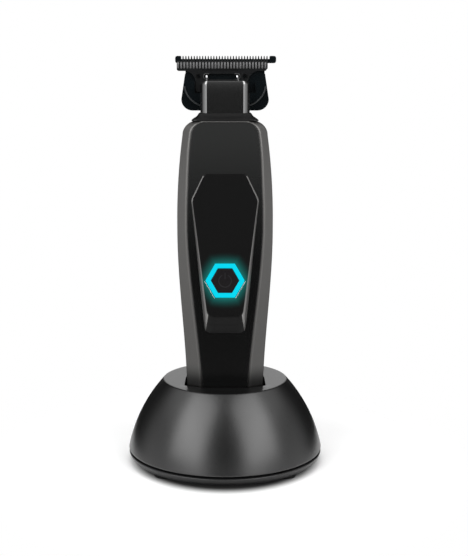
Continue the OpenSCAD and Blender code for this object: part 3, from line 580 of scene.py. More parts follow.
# %% Neck
NECK_WALL = 1.2
ROOF_R = 1.5
ROOF_Z = NECK_TOP - ROOF_R
ROOT = 5
FRONT_EDGE, LEAN_H, LEAN = 0.2, 5.0, 1.2


def neck_line(inset, set_back):
    """The neck's outline from one rear edge round the front to the other."""
    w = NECK_W - inset
    half = [(w, NECK_BACK), (w, -4.4), (w - 0.8, -8.2 + set_back),
            (NECK_FLAT + 0.4 - 0.41 * inset, NECK_FRONT + set_back)]
    return rounded(mirrored(half), [0, 3, 2.8, 1.9, 1.9, 2.8, 3, 0], 8)


def front_inset(z):
    """How far the front stands back at a height: it leans near the top and ends in a small rounding."""
    leaning = max(0, z - (NECK_TOP - LEAN_H))
    return tan(radians(LEAN)) * leaning ** 2 / (2 * LEAN_H) + fall(FRONT_EDGE, z - (NECK_TOP - FRONT_EDGE))


inner_line = neck_line(NECK_WALL, NECK_WALL)[::-1]
wall_zs = [BODY_TOP - ROOT + (ROOF_Z - BODY_TOP + ROOT) * i / 24 for i in range(25)]
wall_rings = [lift(neck_line(0, front_inset(z)) + inner_line, z) for z in wall_zs]
roof_rings = []
for k in range(9):
    a = pi / 2 * k / 8
    z = ROOF_Z + ROOF_R * sin(a)
    roof_rings.append(lift(neck_line(ROOF_R * (1 - cos(a)), front_inset(z)), z))
ceiling = [lift(neck_line(NECK_WALL + 0.05, NECK_WALL + 0.05), ROOF_Z + up) for up in (-0.05, 0.4)]
neck_surfaces = (loft(wall_rings, cap_last=False), loft(roof_rings, cap_first=False), loft(ceiling))
neck = piece("neck_soft", *merge(*neck_surfaces), sharp=50)
print("neck:", 2 * NECK_W, "mm wide")

# %% [markdown]
# ## The plates of the head
#
# The head is a stack of flat plates: the black carrier, the fixed comb and in front of it the cutter, which
# the motor swings from side to side. Their outlines are plain, so softened copies of the CAD solids are
# enough. A CAD mesh is loose triangles, so a copy is merged before its edges are rounded. The strips where
# the teeth stand are cut away, because finer teeth take their place.

# %% Copies of CAD solids
def copied(node, name, sharp=35):
    """A copy of a CAD node with its loose triangles merged."""
    mesh = nodes[node].data.copy()
    work = bmesh.new()
    work.from_mesh(mesh)
    bmesh.ops.remove_doubles(work, verts=work.verts, dist=2e-6)
    bmesh.ops.dissolve_limit(work, angle_limit=radians(1), verts=work.verts, edges=work.edges)
    work.to_mesh(mesh)
    work.free()
    mesh.materials.clear()
    obj = bpy.data.objects.new(name, mesh)
    scene.collection.objects.link(obj)
    smooth(obj, sharp)
    return obj


def soften(obj, width):
    """Rounds the edges of a piece."""
    bevel = obj.modifiers.new("edges", "BEVEL")
    bevel.width = width * MM
    bevel.segments = 2
    bevel.limit_method = "ANGLE"
    bevel.angle_limit = radians(28)
    return settle(obj)


# %% Plates of the head
TIP_Z, CUT_TIP_Z = 158.7, 156.7
CUTTER_W, CUTTER_X = 37.0, -1.35
WING_X, WING_Z = 16.3, 151.5
COMB_FOOT_Z, RIB_FOOT_Z = TIP_Z - 5, CUT_TIP_Z - 3.3
GROOVE_LEFT, GROOVE_RIGHT, GROOVE_Y, GROOVE_H = CUTTER_X - 8.3, CUTTER_X + 6.5, 0.75, 0.75
FAR_X, NEAR_Y, FAR_Y, ABOVE = 30, -5, 10, 190


def block(low, high):
    """A plain box, used to cut with."""
    rings = [[(low[0], low[1], z), (high[0], low[1], z), (high[0], high[1], z), (low[0], high[1], z)]
             for z in (low[2], high[2])]
    return piece("block", *loft(rings))


def cut_above(plate, z, x0=-FAR_X, x1=FAR_X):
    """Takes away all of a plate that is above a height, between two places across."""
    cut(plate, block((x0, NEAR_Y, z + SEAT), (x1, FAR_Y, ABOVE)))


carrier = soften(copied("blade_mount", "blade_carrier"), 0.25)
blade = soften(copied("fixed_blade", "comb_plate"), 0.12)
cut_above(blade, COMB_FOOT_Z)
cut_above(blade, WING_Z, -FAR_X, -WING_X)
cut_above(blade, WING_Z, WING_X, FAR_X)
cutter = soften(copied("moving_blade", "cutter_plate"), 0.12)
cut_above(cutter, RIB_FOOT_Z)
groove_z = RIB_FOOT_Z - 0.25 + SEAT
cut(cutter, block((GROOVE_LEFT, -1, groove_z - GROOVE_H), (GROOVE_RIGHT, GROOVE_Y, groove_z)))
blade_screws = soften(copied("blade_screws", "blade_screw_heads"), 0.12)
print("head plates:", [len(o.data.polygons) for o in (carrier, blade, cutter)])

# %% [markdown]
# ## The teeth
#
# A comb is one tooth repeated on a straight line, so it is a Geometry Nodes tree with plain inputs: how
# many teeth, how far apart, where the row starts and what it is made of. The feet of the stand are one foot
# repeated on a circle, and that tree is the same apart from the nodes that make the points. So one function
# builds both, and is told how to make its points. Every node below, in a tree or a material, is added
# together with its inputs by the same short helper.

# %% Geometry Nodes: a unit repeated on points
def fill(tree, node, values):
    """Sets the inputs of a node: a number stays on it, an output of another node is linked to it."""
    for name, value in values.items():
        if isinstance(value, bpy.types.NodeSocket):
            tree.links.new(value, node.inputs[name])
        else:
            node.inputs[name].default_value = value
    return node


def add(tree, kind, values=None, **settings):
    """Adds a node with these settings and inputs."""
    node = tree.nodes.new(kind)
    for name, value in settings.items():
        setattr(node, name, value)
    return fill(tree, node, values or {})


def feed(tree, kind, values=None, **settings):
    """Adds a node and gives its first output."""
    return add(tree, kind, values, **settings).outputs[0]


def repeat_tree(name, inputs, make_points):
    """A tree that puts its input mesh on points, makes the copies real and sets their material."""
    tree = bpy.data.node_groups.new(name, "GeometryNodeTree")
    for label, kind in [("Geometry", "Geometry")] + inputs + [("Material", "Material")]:
        tree.interface.new_socket(label, in_out="INPUT", socket_type="NodeSocket" + kind)
    tree.interface.new_socket("Geometry", in_out="OUTPUT", socket_type="NodeSocketGeometry")
    given = add(tree, "NodeGroupInput").outputs
    spots = make_points(tree, given)
    copies = feed(tree, "GeometryNodeInstanceOnPoints", {"Points": spots, "Instance": given["Geometry"]})
    real = feed(tree, "GeometryNodeRealizeInstances", {"Geometry": copies})
    covered = feed(tree, "GeometryNodeSetMaterial", {"Geometry": real, "Material": given["Material"]})
    add(tree, "NodeGroupOutput", {"Geometry": covered})
    return tree


def repeat(unit, tree, **values):
    """Runs a tree on a unit and keeps the result as plain mesh."""
    modifier = unit.modifiers.new("repeat", "NODES")
    modifier.node_group = tree
    for item in tree.interface.items_tree:
        if item.in_out == "INPUT" and item.name in values:
            modifier[item.identifier] = values[item.name]
    return settle(unit)


# %% Geometry Nodes: points in a row and on a circle
def row_points(tree, given):
    start, step = (feed(tree, "ShaderNodeCombineXYZ", {"X": given[name]}) for name in ("Start", "Pitch"))
    line = {"Count": given["Count"], "Start Location": start, "Offset": step}
    return feed(tree, "GeometryNodeMeshLine", line)


def circle_points(tree, given):
    ring = feed(tree, "GeometryNodeMeshCircle", {"Vertices": given["Count"], "Radius": given["Radius"]})
    turn = feed(tree, "ShaderNodeCombineXYZ", {"Z": given["Turn"]})
    return feed(tree, "GeometryNodeTransform", {"Geometry": ring, "Rotation": turn})


ROW_INPUTS = [("Count", "Int"), ("Pitch", "Float"), ("Start", "Float")]
CIRCLE_INPUTS = [("Count", "Int"), ("Radius", "Float"), ("Turn", "Float")]
ROW_TREE = repeat_tree("repeat_in_row", ROW_INPUTS, row_points)
RING_TREE = repeat_tree("repeat_on_circle", CIRCLE_INPUTS, circle_points)
print("trees:", ROW_TREE.name, "and", RING_TREE.name)

# %% [markdown]
# ## The comb
#
# The fixed comb has thin teeth that taper to blunt tips, because they slide on skin. The slots between them
# end in a ramp, which is a plain section run along the width of the head, and a wide guard tooth stands at
# either end of the row. Comb, ramps and guards are one solid piece of steel, so they are joined in one
# object.

# %% Comb teeth
def tooth(name, sections):
    """A tooth from (height, half width, front, rear) sections, with rounded fronts."""
    turns = [pi * k / 6 for k in range(7)]
    rings = []
    for z, w, near, far in sections:
        ring = [(-w, far), (w, far)] + [(w * cos(a), near + 0.45 * w * (1 - sin(a))) for a in turns]
        rings.append(lift(ring, z))
    return piece(name, *loft(rings), sharp=40)


def row(unit, count, pitch, middle=0):
    """A unit repeated across the head, centred on a place."""
    start = middle - pitch * (count - 1) / 2
    return repeat(unit, ROW_TREE, Count=count, Pitch=pitch * MM, Start=start * MM)


def bar(name, section, width, soft, middle=0):
    """A section (depth, height) run along the width of the head, with softened edges."""
    ends = [middle - width / 2, middle + width / 2]
    return soften(piece(name, *loft([[(x, y, z + SEAT) for y, z in section] for x in ends])), soft)


def join(name, parts, sharp=35):
    """Several meshes in one object; their materials are set later."""
    work = bmesh.new()
    for part in parts:
        work.from_mesh(part.data)
    mesh = bpy.data.meshes.new(name)
    work.to_mesh(mesh)
    work.free()
    for part in parts:
        bpy.data.objects.remove(part)
    obj = bpy.data.objects.new(name, mesh)
    scene.collection.objects.link(obj)
    smooth(obj, sharp)
    return obj


COMB_N, COMB_PITCH = 31, 1.15
COMB_NEAR, COMB_FAR = 1.6, 3.4
comb_tooth = tooth("comb_teeth", [
    (153.5, 0.3, COMB_NEAR, COMB_FAR), (156.6, 0.3, COMB_NEAR, COMB_FAR), (157.8, 0.27, COMB_NEAR, 3.1),
    (158.35, 0.22, 1.62, 2.6), (158.62, 0.15, 1.7, 2.3), (TIP_Z, 0.08, 1.8, 2.1)])
teeth = row(comb_tooth, COMB_N, COMB_PITCH)
print("comb:", COMB_N, "teeth", COMB_PITCH, "mm apart")

# %% Ramps and guard teeth
RAMP_SOFT = 0.05
ramp_low = bar("ramp", [(COMB_NEAR, 153.5), (COMB_NEAR, 154.1), (2.9, 156.4), (COMB_FAR, 156.9),
                        (COMB_FAR, 153.5)], width=34.2, soft=RAMP_SOFT)
ramp_high = bar("ramp", [(2.75, 155.8), (2.8, 157.1), (2.9, 157.5), (3.15, 157.5), (COMB_FAR, 156.6),
                         (COMB_FAR, 155.8)], width=36.8, soft=RAMP_SOFT)
GUARD_Z = 155.8
guards = []
for near, far in ((-18.05, -20.5), (18.3, 21.0)):
    corners = [(near, GUARD_Z), (far, GUARD_Z), (far, TIP_Z), (near, TIP_Z)]
    corners = rounded(corners, [0.3, 1, 1, 0.4], 5, closed=True)
    rings = [[(x, y, z + SEAT) for x, z in corners] for y in (COMB_NEAR, COMB_FAR)]
    guards.append(piece("guard", *loft(rings)))
comb_teeth = join("comb_row", [teeth, ramp_low, ramp_high] + guards)
print("comb row:", len(comb_teeth.data.polygons), "faces")

# %% [markdown]
# ## The ribs of the cutter
#
# The teeth of the cutter are short ground ribs, and they keep their bare steel where the rest of the plate
# is blackened. So the ribs are one piece with its own finish, and the dark bar they stand on is another.
# Both ride on the cutter.

# %% Ribs and bar
RIB_N, RIB_PITCH = 29, 1.28
rib = tooth("cutter_ribs", [
    (153.42, 0.16, 0.75, 1.3), (153.6, 0.33, 0.4, 1.3), (153.9, 0.37, 0.35, 1.3), (155.4, 0.37, 0.35, 1.3),
    (155.9, 0.34, 0.48, 1.3), (156.2, 0.28, 0.72, 1.3)])
ribs = row(rib, RIB_N, RIB_PITCH, middle=CUTTER_X)
cutter_bar = bar("cutter_bar", [
    (0.35, 153.35), (0.4, 153.5), (0.86, 153.62), (0.86, 156.1), (1.1, 156.6), (1.15, CUT_TIP_Z),
    (1.55, CUT_TIP_Z), (1.55, 153.35)], width=CUTTER_W, soft=0.1, middle=CUTTER_X)
print("cutter:", RIB_N, "ribs", RIB_PITCH, "mm apart")

# %% [markdown]
# ## Holes and bright edges of the cutter
#
# The cutter has two round holes and a slot with a round end at either side, where the spring takes hold. A
# pressed hole has a polished edge, and it shows as a thin bright arc. A fine tube along each round end of
# the slot is enough for that, and it can have a finish of its own.

# %% Round holes and the edges of the slot
def tube(name, line, radius, sides=16):
    """A round wire swept along a line."""
    line = [Vector(p) for p in line]
    turns = [2 * pi * k / sides for k in range(sides)]
    rings = []
    side = None
    for i, at in enumerate(line):
        along = (line[min(i + 1, len(line) - 1)] - line[max(i - 1, 0)]).normalized()
        side = along.orthogonal() if side is None else side - along * side.dot(along)
        side.normalize()
        other = along.cross(side)
        rings.append([tuple(at + radius * (side * cos(a) + other * sin(a))) for a in turns])
    return piece(name, *loft(rings), sharp=50)


SLOT_Z, SPRING_X = 150.35, 6.2
KEYHOLE_R, KEYHOLE_Y, KEYHOLE_EDGE = 1.25, 0.3, 0.2
HOLE_X, HOLE_R = 9.6, 1.05
BLADE_REACH, CUTTER_REAR = 3, 1.5
turns = [pi * k / 12 for k in range(-9, 10)]
edges = []
for s in (1, -1):
    arc = [(CUTTER_X + s * (SPRING_X + KEYHOLE_R * cos(a)), SLOT_Z + KEYHOLE_R * sin(a)) for a in turns]
    edges.append(tube("keyhole_edge", [(x, KEYHOLE_Y, z + SEAT) for x, z in arc], KEYHOLE_EDGE, 8))
    hole_x = CUTTER_X + s * HOLE_X
    cut(cutter, rod(HOLE_R, (hole_x, -BLADE_REACH, SLOT_Z + SEAT), (hole_x, CUTTER_REAR, SLOT_Z + SEAT)))
slot_rim = join("slot_rim", edges, 50)
print("cutter plate:", len(cutter.data.polygons), "faces")

# %% [markdown]
# ## The blade spring
#
# A bent steel wire holds the cutter down and lets it swing. It is a tube swept along a line with rounded
# bends. Its feet are held in the trimmer and its tips move with the cutter; here the wire is made in one
# shape and does not bend with it.

# %% Blade spring
WIRE_R, TIP_RAISED, TIP_Y = 0.4, 0.35, 0.4
spring_low, spring_high = (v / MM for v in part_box("blade_spring"))
spring_y = spring_low.y + WIRE_R
spring_z = spring_low.z + WIRE_R
tip_z = spring_high.z - WIRE_R + TIP_RAISED
foot_x = spring_high.x - WIRE_R
tip_x = [CUTTER_X - SPRING_X, CUTTER_X + SPRING_X]
path = [(tip_x[0], TIP_Y, tip_z), (tip_x[0], spring_y, tip_z), (-foot_x, spring_y, spring_z),
        (foot_x, spring_y, spring_z), (tip_x[1], spring_y, tip_z), (tip_x[1], TIP_Y, tip_z)]
spring = tube("blade_wire", rounded(path, [0, 0.7, 0.9, 0.9, 0.7, 0], 6), WIRE_R)
print("spring: feet", round(2 * foot_x, 1), "mm apart")

# %% [markdown]
# ## Painted highlights on the ring's seat
#
# The lower two slanted edges of the light ring's seat show as thin bright lines. These highlights are
# painted:
# thin straight tubes of bright metal that lie in the face of the pad, only along these two edges.

# %% Edge of the ring's seat
SEAT_EDGE = 0.42
glints = []
for s in (-1, 1):
    corner_r = (RING_FLAT / 2 + SEAT_EDGE) / cos(pi / 6)
    ends = [corner_r * Vector((s * cos(a), -sin(a))) for a in (0, pi / 3)]
    line = [on_pad(*ends[0].lerp(ends[1], t), 0.02) for t in (0.02, 0.5, 0.98)]
    glints.append(tube("glint", line, 0.09, 8))
rim_glints = join("rim_glints", glints, 50)
print("edges of the seat:", len(glints))

# %% [markdown]
# ## Ridges on the carrier's wings
#
# Each wing of the blade carrier has a raised line that curves down from its tip to the neck. Five points
# give the curve, a spline makes it smooth, and a tube sunk to its middle in the wing leaves half a round
# ridge.

# %% Ridges
def spline(points):
    """A smooth line through a few points, with eight steps between neighbours."""
    line = []
    ends = [points[0]] + points + [points[-1]]
    for i in range(1, len(ends) - 2):
        p0, p1, p2, p3 = (Vector(p) for p in ends[i - 1:i + 3])
        for t in [k / 8 for k in range(8)]:
            curve = (2 * p0 - 5 * p1 + 4 * p2 - p3) * t ** 2 + (3 * p1 - p0 - 3 * p2 + p3) * t ** 3
            line.append(0.5 * (2 * p1 + (p2 - p0) * t + curve))
    return line + [Vector(points[-1])]


WING_LINE = [(16.6, 146.4), (16.2, 144.4), (15.0, 142.2), (13.0, 140.2), (10.3, 138.6)]
WING_Y, RIDGE_R = -0.58, 0.36
arcs = [tube("ridge", spline([(s * x, WING_Y, z + SEAT) for x, z in WING_LINE]), RIDGE_R, 8) for s in (-1, 1)]
ridges = join("carrier_ridges", arcs, 50)
print("ridges:", len(arcs))

# %% [markdown]
# ## The stand
#
# The stand is turned: a dome with a flat top and a rounded lower lip. Its side is part of one big circle
# through the lip and the edge of the top, so the middle of that circle comes first.

# %% Side of the dome
LIP_R, STAND_TOP_R, STAND_H, DOME_R = 41.6, 26.3, 35.2, 64.0
LIP_Z = 5.3
STAND_WALL = 2.2
chord = (LIP_R - STAND_TOP_R, LIP_Z - STAND_H)
length = hypot(*chord)
rise = sqrt(DOME_R ** 2 - length ** 2 / 4)
dome_x = (LIP_R + STAND_TOP_R) / 2 + rise * chord[1] / length
dome_z = (LIP_Z + STAND_H) / 2 - rise * chord[0] / length


def dome_r(z):
    return dome_x + sqrt(DOME_R ** 2 - (z - dome_z) ** 2)


span = STAND_H - STAND_WALL - LIP_Z
side = [(dome_r(z), z) for z in [LIP_Z + 1 + span * i / 24 for i in range(25)]]
lip = rounded([(dome_r(LIP_Z) - STAND_WALL, LIP_Z), (dome_r(LIP_Z), LIP_Z), side[0]], [0, 0.45, 0], 6)
crown = rounded([side[-1], (STAND_TOP_R, STAND_H), (STAND_TOP_R - 2, STAND_H)], [0, 1.1, 0], 6)
inside = [(dome_r(z) - STAND_WALL, z) for z in [STAND_H - STAND_WALL - span * i / 12 for i in range(13)]]
print("stand:", round(2 * dome_r(LIP_Z), 1), "mm across its lip")

# %% [markdown]
# ## The socket in its top
#
# The socket is cut through the flat top with the outline of the trimmer at that height and a small gap. The
# outline comes from the rule of the body, so trimmer and socket always fit. A flat lid with a hole joins
# the crown to the socket, and another joins the two on the inside. The round hole at the back takes the
# power plug.

# %% Stand shell
SOCKET_GAP = 0.9
INLET_Z, INLET_HOLE_R = 9.4, 4.3
TURN_STEPS = 160


def circle(r, z, steps=TURN_STEPS):
    """A level ring of points."""
    turns = [2 * pi * i / steps - pi / 2 for i in range(steps)]
    return [(r * cos(a), r * sin(a), z) for a in turns]


def socket_outline(gap):
    """The trimmer's outline where it passes the top of the stand, with a gap round it."""
    z = STAND_H - SEAT
    w, f, b, fw = half_w(z) + gap, front(z) + gap, back(z) + gap, face_w(z) + 0.41 * gap
    turns = [pi * i / 48 for i in range(24)]
    rear = [(w * cos(a) ** BACK_POWER, SIDE_Y + (b - SIDE_Y) * sin(a) ** BACK_POWER) for a in turns]
    bevel = [(0, -f), (fw, -f), (w, -f + BEVEL_D - 0.11 * gap), (w, SIDE_Y)]
    half = rounded(bevel, [0, 1.2, 1.6, 0])[:-1] + rear
    return half + [(0, b)] + [(-x, y) for x, y in half[:0:-1]]


def socket_rings(stack):
    """Rings of the socket from (gap, height)."""
    return [[(x, y, z) for x, y in socket_outline(gap)] for gap, z in stack]


outer_rings = [circle(r, z) for r, z in lip[:-1] + side + crown[1:]]
inner_rings = [circle(r, z) for r, z in inside]
hole_rings = socket_rings([(SOCKET_GAP + 0.35, STAND_H), (SOCKET_GAP + 0.1, STAND_H - 0.12),
                           (SOCKET_GAP, STAND_H - 0.4), (SOCKET_GAP, STAND_H - STAND_WALL)])
points, faces = merge(open_loft(outer_rings), open_loft(inner_rings), open_loft(hole_rings))
inner_at = len(outer_rings) * TURN_STEPS
hole_at = inner_at + len(inner_rings) * TURN_STEPS
hole_end = len(points) - len(hole_rings[-1])
faces += lid(inner_at - TURN_STEPS, outer_rings[-1], hole_at, hole_rings[0])
faces += lid(inner_at, inner_rings[0], hole_end, hole_rings[-1])
stand = piece("stand_dome", points, faces, sharp=30)
cut(stand, rod(INLET_HOLE_R, (0, 25, INLET_Z), (0, 45, INLET_Z)), 30)
print("stand:", len(stand.data.polygons), "faces")

# %% [markdown]
# ## Cup, base plate and inlet
#
# Under the socket hangs a cup that carries the trimmer, with two holes for the charging pins. A flat base
# plate closes the stand from below. The cup is lofted through the same outline as the socket, and the base
# is a turned profile.

# %% Cup, base plate and inlet
def lathe(name, profile, steps=TURN_STEPS):
    """A turned piece from a line of (radius, height)."""
    return piece(name, *loft([circle(r, z, steps) for r, z in profile]))


CUP_WALL_GAP, CUP_TOP_Z = SOCKET_GAP + 1.7, STAND_H - 2.3
PIN_X, PIN_HOLE_R = 6, 1.35
cup = piece("socket_cup", *loft(socket_rings([
    (CUP_WALL_GAP, SEAT - 1.9), (CUP_WALL_GAP, CUP_TOP_Z), (SOCKET_GAP - 0.02, CUP_TOP_Z),
    (SOCKET_GAP - 0.02, SEAT + 0.6), (SOCKET_GAP - 0.5, SEAT + 0.1)])), sharp=30)
for s in (-1, 1):
    cut(cup, rod(PIN_HOLE_R, (s * PIN_X, 0, SEAT - 4), (s * PIN_X, 0, SEAT + 4)), 30)
base_line = [(0, 1.3), (39.6, 1.3), (40.9, 2.4), (41.6, 4.3), (38.8, 4.5), (38.6, 5.6), (0, 5.6)]
base = lathe("base_disc", rounded(base_line, [0, 0.8, 2.5, 0.5, 0.2, 0, 0], 5)[1:-1])
inlet = soften(copied("inlet_jack", "power_inlet"), 0.2)
print("base profile:", len(base_line), "corners")

# %% [markdown]
# ## Finishes
#
# Every surface gets a noise-driven finish: a little change of colour, roughness and height, at the scale of
# the real grain. Constants sit on the shader itself, and only what varies over the surface is linked to it.

# %% Finish helper
def tinted(tree, colour, amount):
    """A colour scaled by the output of another node."""
    return feed(tree, "ShaderNodeVectorMath", {0: colour, "Scale": amount}, operation="SCALE")


def finish(name, colour, rough, metal=0.0, specular=0.5, grain=0.4, vary=0.08, rough_vary=0.06, bump=0.02,
           stretch=(1, 1, 1), ior=1.5):
    """A material whose noise has grains of this size in millimetres."""
    material = bpy.data.materials.new(name)
    material.use_nodes = True
    tree = material.node_tree
    place = add(tree, "ShaderNodeTexCoord").outputs["Object"]
    place = feed(tree, "ShaderNodeMapping", {"Vector": place, "Scale": stretch})
    noise = feed(tree, "ShaderNodeTexNoise", {"Vector": place, "Scale": 1 / (grain * MM), "Detail": 3})
    tone = feed(tree, "ShaderNodeMapRange", {"Value": noise, "To Min": 1 - vary, "To Max": 1 + vary})
    low, high = max(0.02, rough - rough_vary), min(1, rough + rough_vary)
    fill(tree, tree.nodes["Principled BSDF"], {
        "Base Color": tinted(tree, colour, tone),
        "Roughness": feed(tree, "ShaderNodeMapRange", {"Value": noise, "To Min": low, "To Max": high}),
        "Normal": feed(tree, "ShaderNodeBump", {"Height": noise, "Strength": 0.6, "Distance": bump * MM}),
        "Metallic": metal, "Specular IOR Level": specular, "IOR": ior})
    return material


# %% [markdown]
# ## Painted reflection and shade by height
#
# The smooth metal and the glossy plate would mirror a room that isn't built here, so that reflection is
# painted
# into their colour: they are darker low down and lighter further up. A smooth step over the height,
# multiplied with the colour, gives the same. The foot of the shell is darkened too, a painted shade where it
# stands in the socket.

# %% Colour by height
def stepper(tree):
    """A function that adds a smooth step of a value to this tree."""
    def step(value, start, end, low=0.0, high=1.0):
        limits = {"Value": value, "From Min": start, "From Max": end, "To Min": low, "To Max": high}
        return feed(tree, "ShaderNodeMapRange", limits, interpolation_type="SMOOTHSTEP")

    return step


def object_axes(tree):
    """Where a point of the object is along the three axes, in metres."""
    place = tree.nodes["Texture Coordinate"].outputs["Object"]
    return add(tree, "ShaderNodeSeparateXYZ", {0: place}).outputs


def scaled_by_height(material, low, high, at_low):
    """Scales the colour of a finish: this much at the low height, and fully at the high one."""
    tree = material.node_tree
    amount = stepper(tree)(object_axes(tree)[2], low * MM, high * MM, at_low)
    shader = tree.nodes["Principled BSDF"]
    colour = shader.inputs["Base Color"].links[0].from_socket
    fill(tree, shader, {"Base Color": tinted(tree, colour, amount)})
    return material


# %% [markdown]
# ## Light of the ring
#
# The light of the ring falls on the pad round it, and that pool of light is painted: an emission that fades
# with the distance from the ring, so the nodes first measure how far a point is outside it. A mix of hexagon
# and circle gives the painted glow its soft corners.

# %% Distance from the ring
def calculator(tree):
    """A function that adds a sum to this tree."""
    def do(operation, first, second=0.0):
        return feed(tree, "ShaderNodeMath", {0: first, 1: second}, operation=operation)

    return do


def from_button(tree):
    """How far a point is beside and above the button's middle, and straight from it, in millimetres."""
    do = calculator(tree)
    axes = object_axes(tree)
    right = do("MULTIPLY", do("ABSOLUTE", axes[0]), 1 / MM)
    high = do("MULTIPLY", do("SUBTRACT", axes[2], on_pad(0, 0, 0)[2] * MM), 1 / MM)
    away = do("SQRT", do("ADD", do("MULTIPLY", right, right), do("MULTIPLY", high, high)))
    return do, right, high, away


def shining(material, colour, strength):
    """A finish that gives light of its own."""
    shader = material.node_tree.nodes["Principled BSDF"]
    fill(material.node_tree, shader, {"Emission Color": colour, "Emission Strength": strength})
    return material


def painted_ring_glow(material, reach, strength):
    """A painted teal glow round the ring: an emission that stands for the ring's light falling on the pad."""
    tree = material.node_tree
    do, right, high, away = from_button(tree)
    flat_up = do("ABSOLUTE", high)
    slanted = do("ADD", do("MULTIPLY", right, cos(pi / 6)), do("MULTIPLY", flat_up, 0.5))
    flats = do("MAXIMUM", slanted, flat_up)
    mixed = do("ADD", do("MULTIPLY", flats, 0.6), do("MULTIPLY", away, 0.4))
    outside = do("SUBTRACT", mixed, RING_FLAT / 2 + 0.2)
    near = do("MAXIMUM", do("SUBTRACT", 1.0, do("DIVIDE", do("MAXIMUM", outside, 0.0), reach)), 0.0)
    glow = do("MULTIPLY", do("POWER", near, 2.2), strength)
    return shining(material, (0.012, 0.62, 0.55, 1), glow)


# %% [markdown]
# ## The sign on the button
#
# The button has the plain power sign that every such device has: a broken circle with a short bar. It is
# printed and very faint, so it is drawn in the material from the same two distances, and the button stays
# one smooth cap.

# %% Power sign and light guide
def marked(material):
    """A faint power sign: a circle that is open at the top, with a bar in the opening."""
    circle_r, half_line, bar_z, half_bar = 2.55, 0.16, 2.1, 1.3
    do, right, high, away = from_button(material.node_tree)
    on_circle = do("LESS_THAN", do("ABSOLUTE", do("SUBTRACT", away, circle_r)), half_line)
    closed = do("LESS_THAN", do("SUBTRACT", do("MULTIPLY", high, 0.5), right), 0.0)
    beside = do("LESS_THAN", right, half_line)
    on_bar = do("MULTIPLY", beside, do("LESS_THAN", do("ABSOLUTE", do("SUBTRACT", high, bar_z)), half_bar))
    sign = do("MAXIMUM", do("MULTIPLY", on_circle, closed), on_bar)
    return shining(material, (0.5, 0.52, 0.56, 1), do("MULTIPLY", sign, 0.03))


def glowing(material, colour):
    """The light guide: bright all over, a little cloudy in its depth."""
    tree = material.node_tree
    place = tree.nodes["Texture Coordinate"].outputs["Object"]
    cloud = feed(tree, "ShaderNodeTexNoise", {"Vector": place, "Scale": 260})
    amount = feed(tree, "ShaderNodeMapRange", {"Value": cloud, "To Min": 0.93, "To Max": 1.03})
    return shining(material, colour, amount)


# %% [markdown]
# ## The list of finishes
#
# One finish for each material slot of the CAD model, and a few more for pieces that differ from their slot.
# Black plastic is never quite black, and each kind has its own gloss: the stand is satin, the cup is dull,
# the neck is nearly polished.

# %% Finishes of the slots
shell_metal = finish("shell_satin_metal", (0.136, 0.133, 0.129), 0.38, metal=0.6, specular=0.6, grain=0.3,
                     vary=0.1, bump=0.008)
# painted shade: the shell darkens towards its foot, where it stands in the socket
scaled_by_height(shell_metal, low=36.5, high=45.5, at_low=0.15)
# painted reflection: the shell is lighter further up, as if it mirrored a room
scaled_by_height(shell_metal, low=45, high=112, at_low=0.74)
plate_satin = finish("plate_satin", (0.018, 0.0186, 0.0182), 0.24, specular=0.5, grain=0.2, bump=0.002)
pad_soft = finish("pad_soft_touch", (0.003, 0.003, 0.003), 0.38, specular=0.2, grain=0.3, bump=0.004)
guide_resin = finish("light_guide_resin", (0.0, 0.002, 0.003), 0.4, specular=0.1)
FINISH = {
    "stand_black": finish("stand_satin", (0.0038, 0.0038, 0.0039), 0.3, specular=0.85, grain=0.42, vary=0.5,
                          bump=0.035),
    "cup_black": finish("cup_plastic", (0.003, 0.003, 0.003), 0.6, specular=0.15),
    "base_grey": finish("base_plastic", (0.016, 0.0162, 0.0165), 0.34, specular=0.5),
    "steel": finish("steel_bright", (0.45, 0.45, 0.46), 0.3, metal=1.0, grain=0.2),
    "rubber_black": finish("rubber", (0.008, 0.008, 0.008), 0.8, specular=0.2),
    "board_green": finish("board_lacquer", (0.012, 0.11, 0.045), 0.35, grain=1.5),
    "inlet_black": finish("inlet_plastic", (0.012, 0.012, 0.013), 0.5),
    "spring_steel": finish("spring_steel_plain", (0.6, 0.6, 0.61), 0.25, metal=1.0, grain=0.15),
    "contact_gold": finish("contact_plating", (0.75, 0.52, 0.2), 0.25, metal=1.0),
    "shell_metal": shell_metal,
    # painted reflection: the face plate is lighter towards the head
    "plate_black": scaled_by_height(plate_satin, low=85, high=143, at_low=0.17),
    # painted light: the ring's teal glow on the pad
    "pad_black": painted_ring_glow(pad_soft, reach=5.0, strength=0.24),
    "ring_cyan": glowing(guide_resin, (0.0, 0.71, 0.91, 1)),
    "button_black": marked(finish("button_plastic", (0.0075, 0.006, 0.007), 0.42, specular=0.2)),
    "inner_plastic": finish("inner_nylon", (0.55, 0.52, 0.45), 0.5, grain=0.8),
    "cell_green": finish("cell_sleeve", (0.03, 0.2, 0.09), 0.3, grain=2.0),
    "chip_black": finish("chip_resin", (0.02, 0.02, 0.022), 0.55),
    "motor_steel": finish("motor_plating", (0.42, 0.43, 0.44), 0.35, metal=1.0, grain=0.3),
    "bronze": finish("sintered_bronze", (0.4, 0.25, 0.1), 0.45, metal=1.0, grain=0.1, vary=0.2),
    "copper": finish("enamelled_wire", (0.45, 0.16, 0.06), 0.35, metal=0.9, grain=0.3, vary=0.15),
    "neck_grey": finish("neck_satin", (0.0095, 0.0097, 0.0095), 0.12, specular=1.0, grain=0.2, vary=0.05,
                        bump=0.002, rough_vary=0.03, ior=2.2),
    "collar_black": finish("collar_plastic", (0.004, 0.004, 0.004), 0.4, specular=0.3),
    "blade_black": finish("blade_coating", (0.002, 0.0042, 0.0055), 0.26, specular=0.2, grain=0.1),
    "cutter_grey": finish("cutter_steel", (0.0055, 0.006, 0.0065), 0.3, specular=0.35, grain=0.1),
}
print("finishes:", len(FINISH))

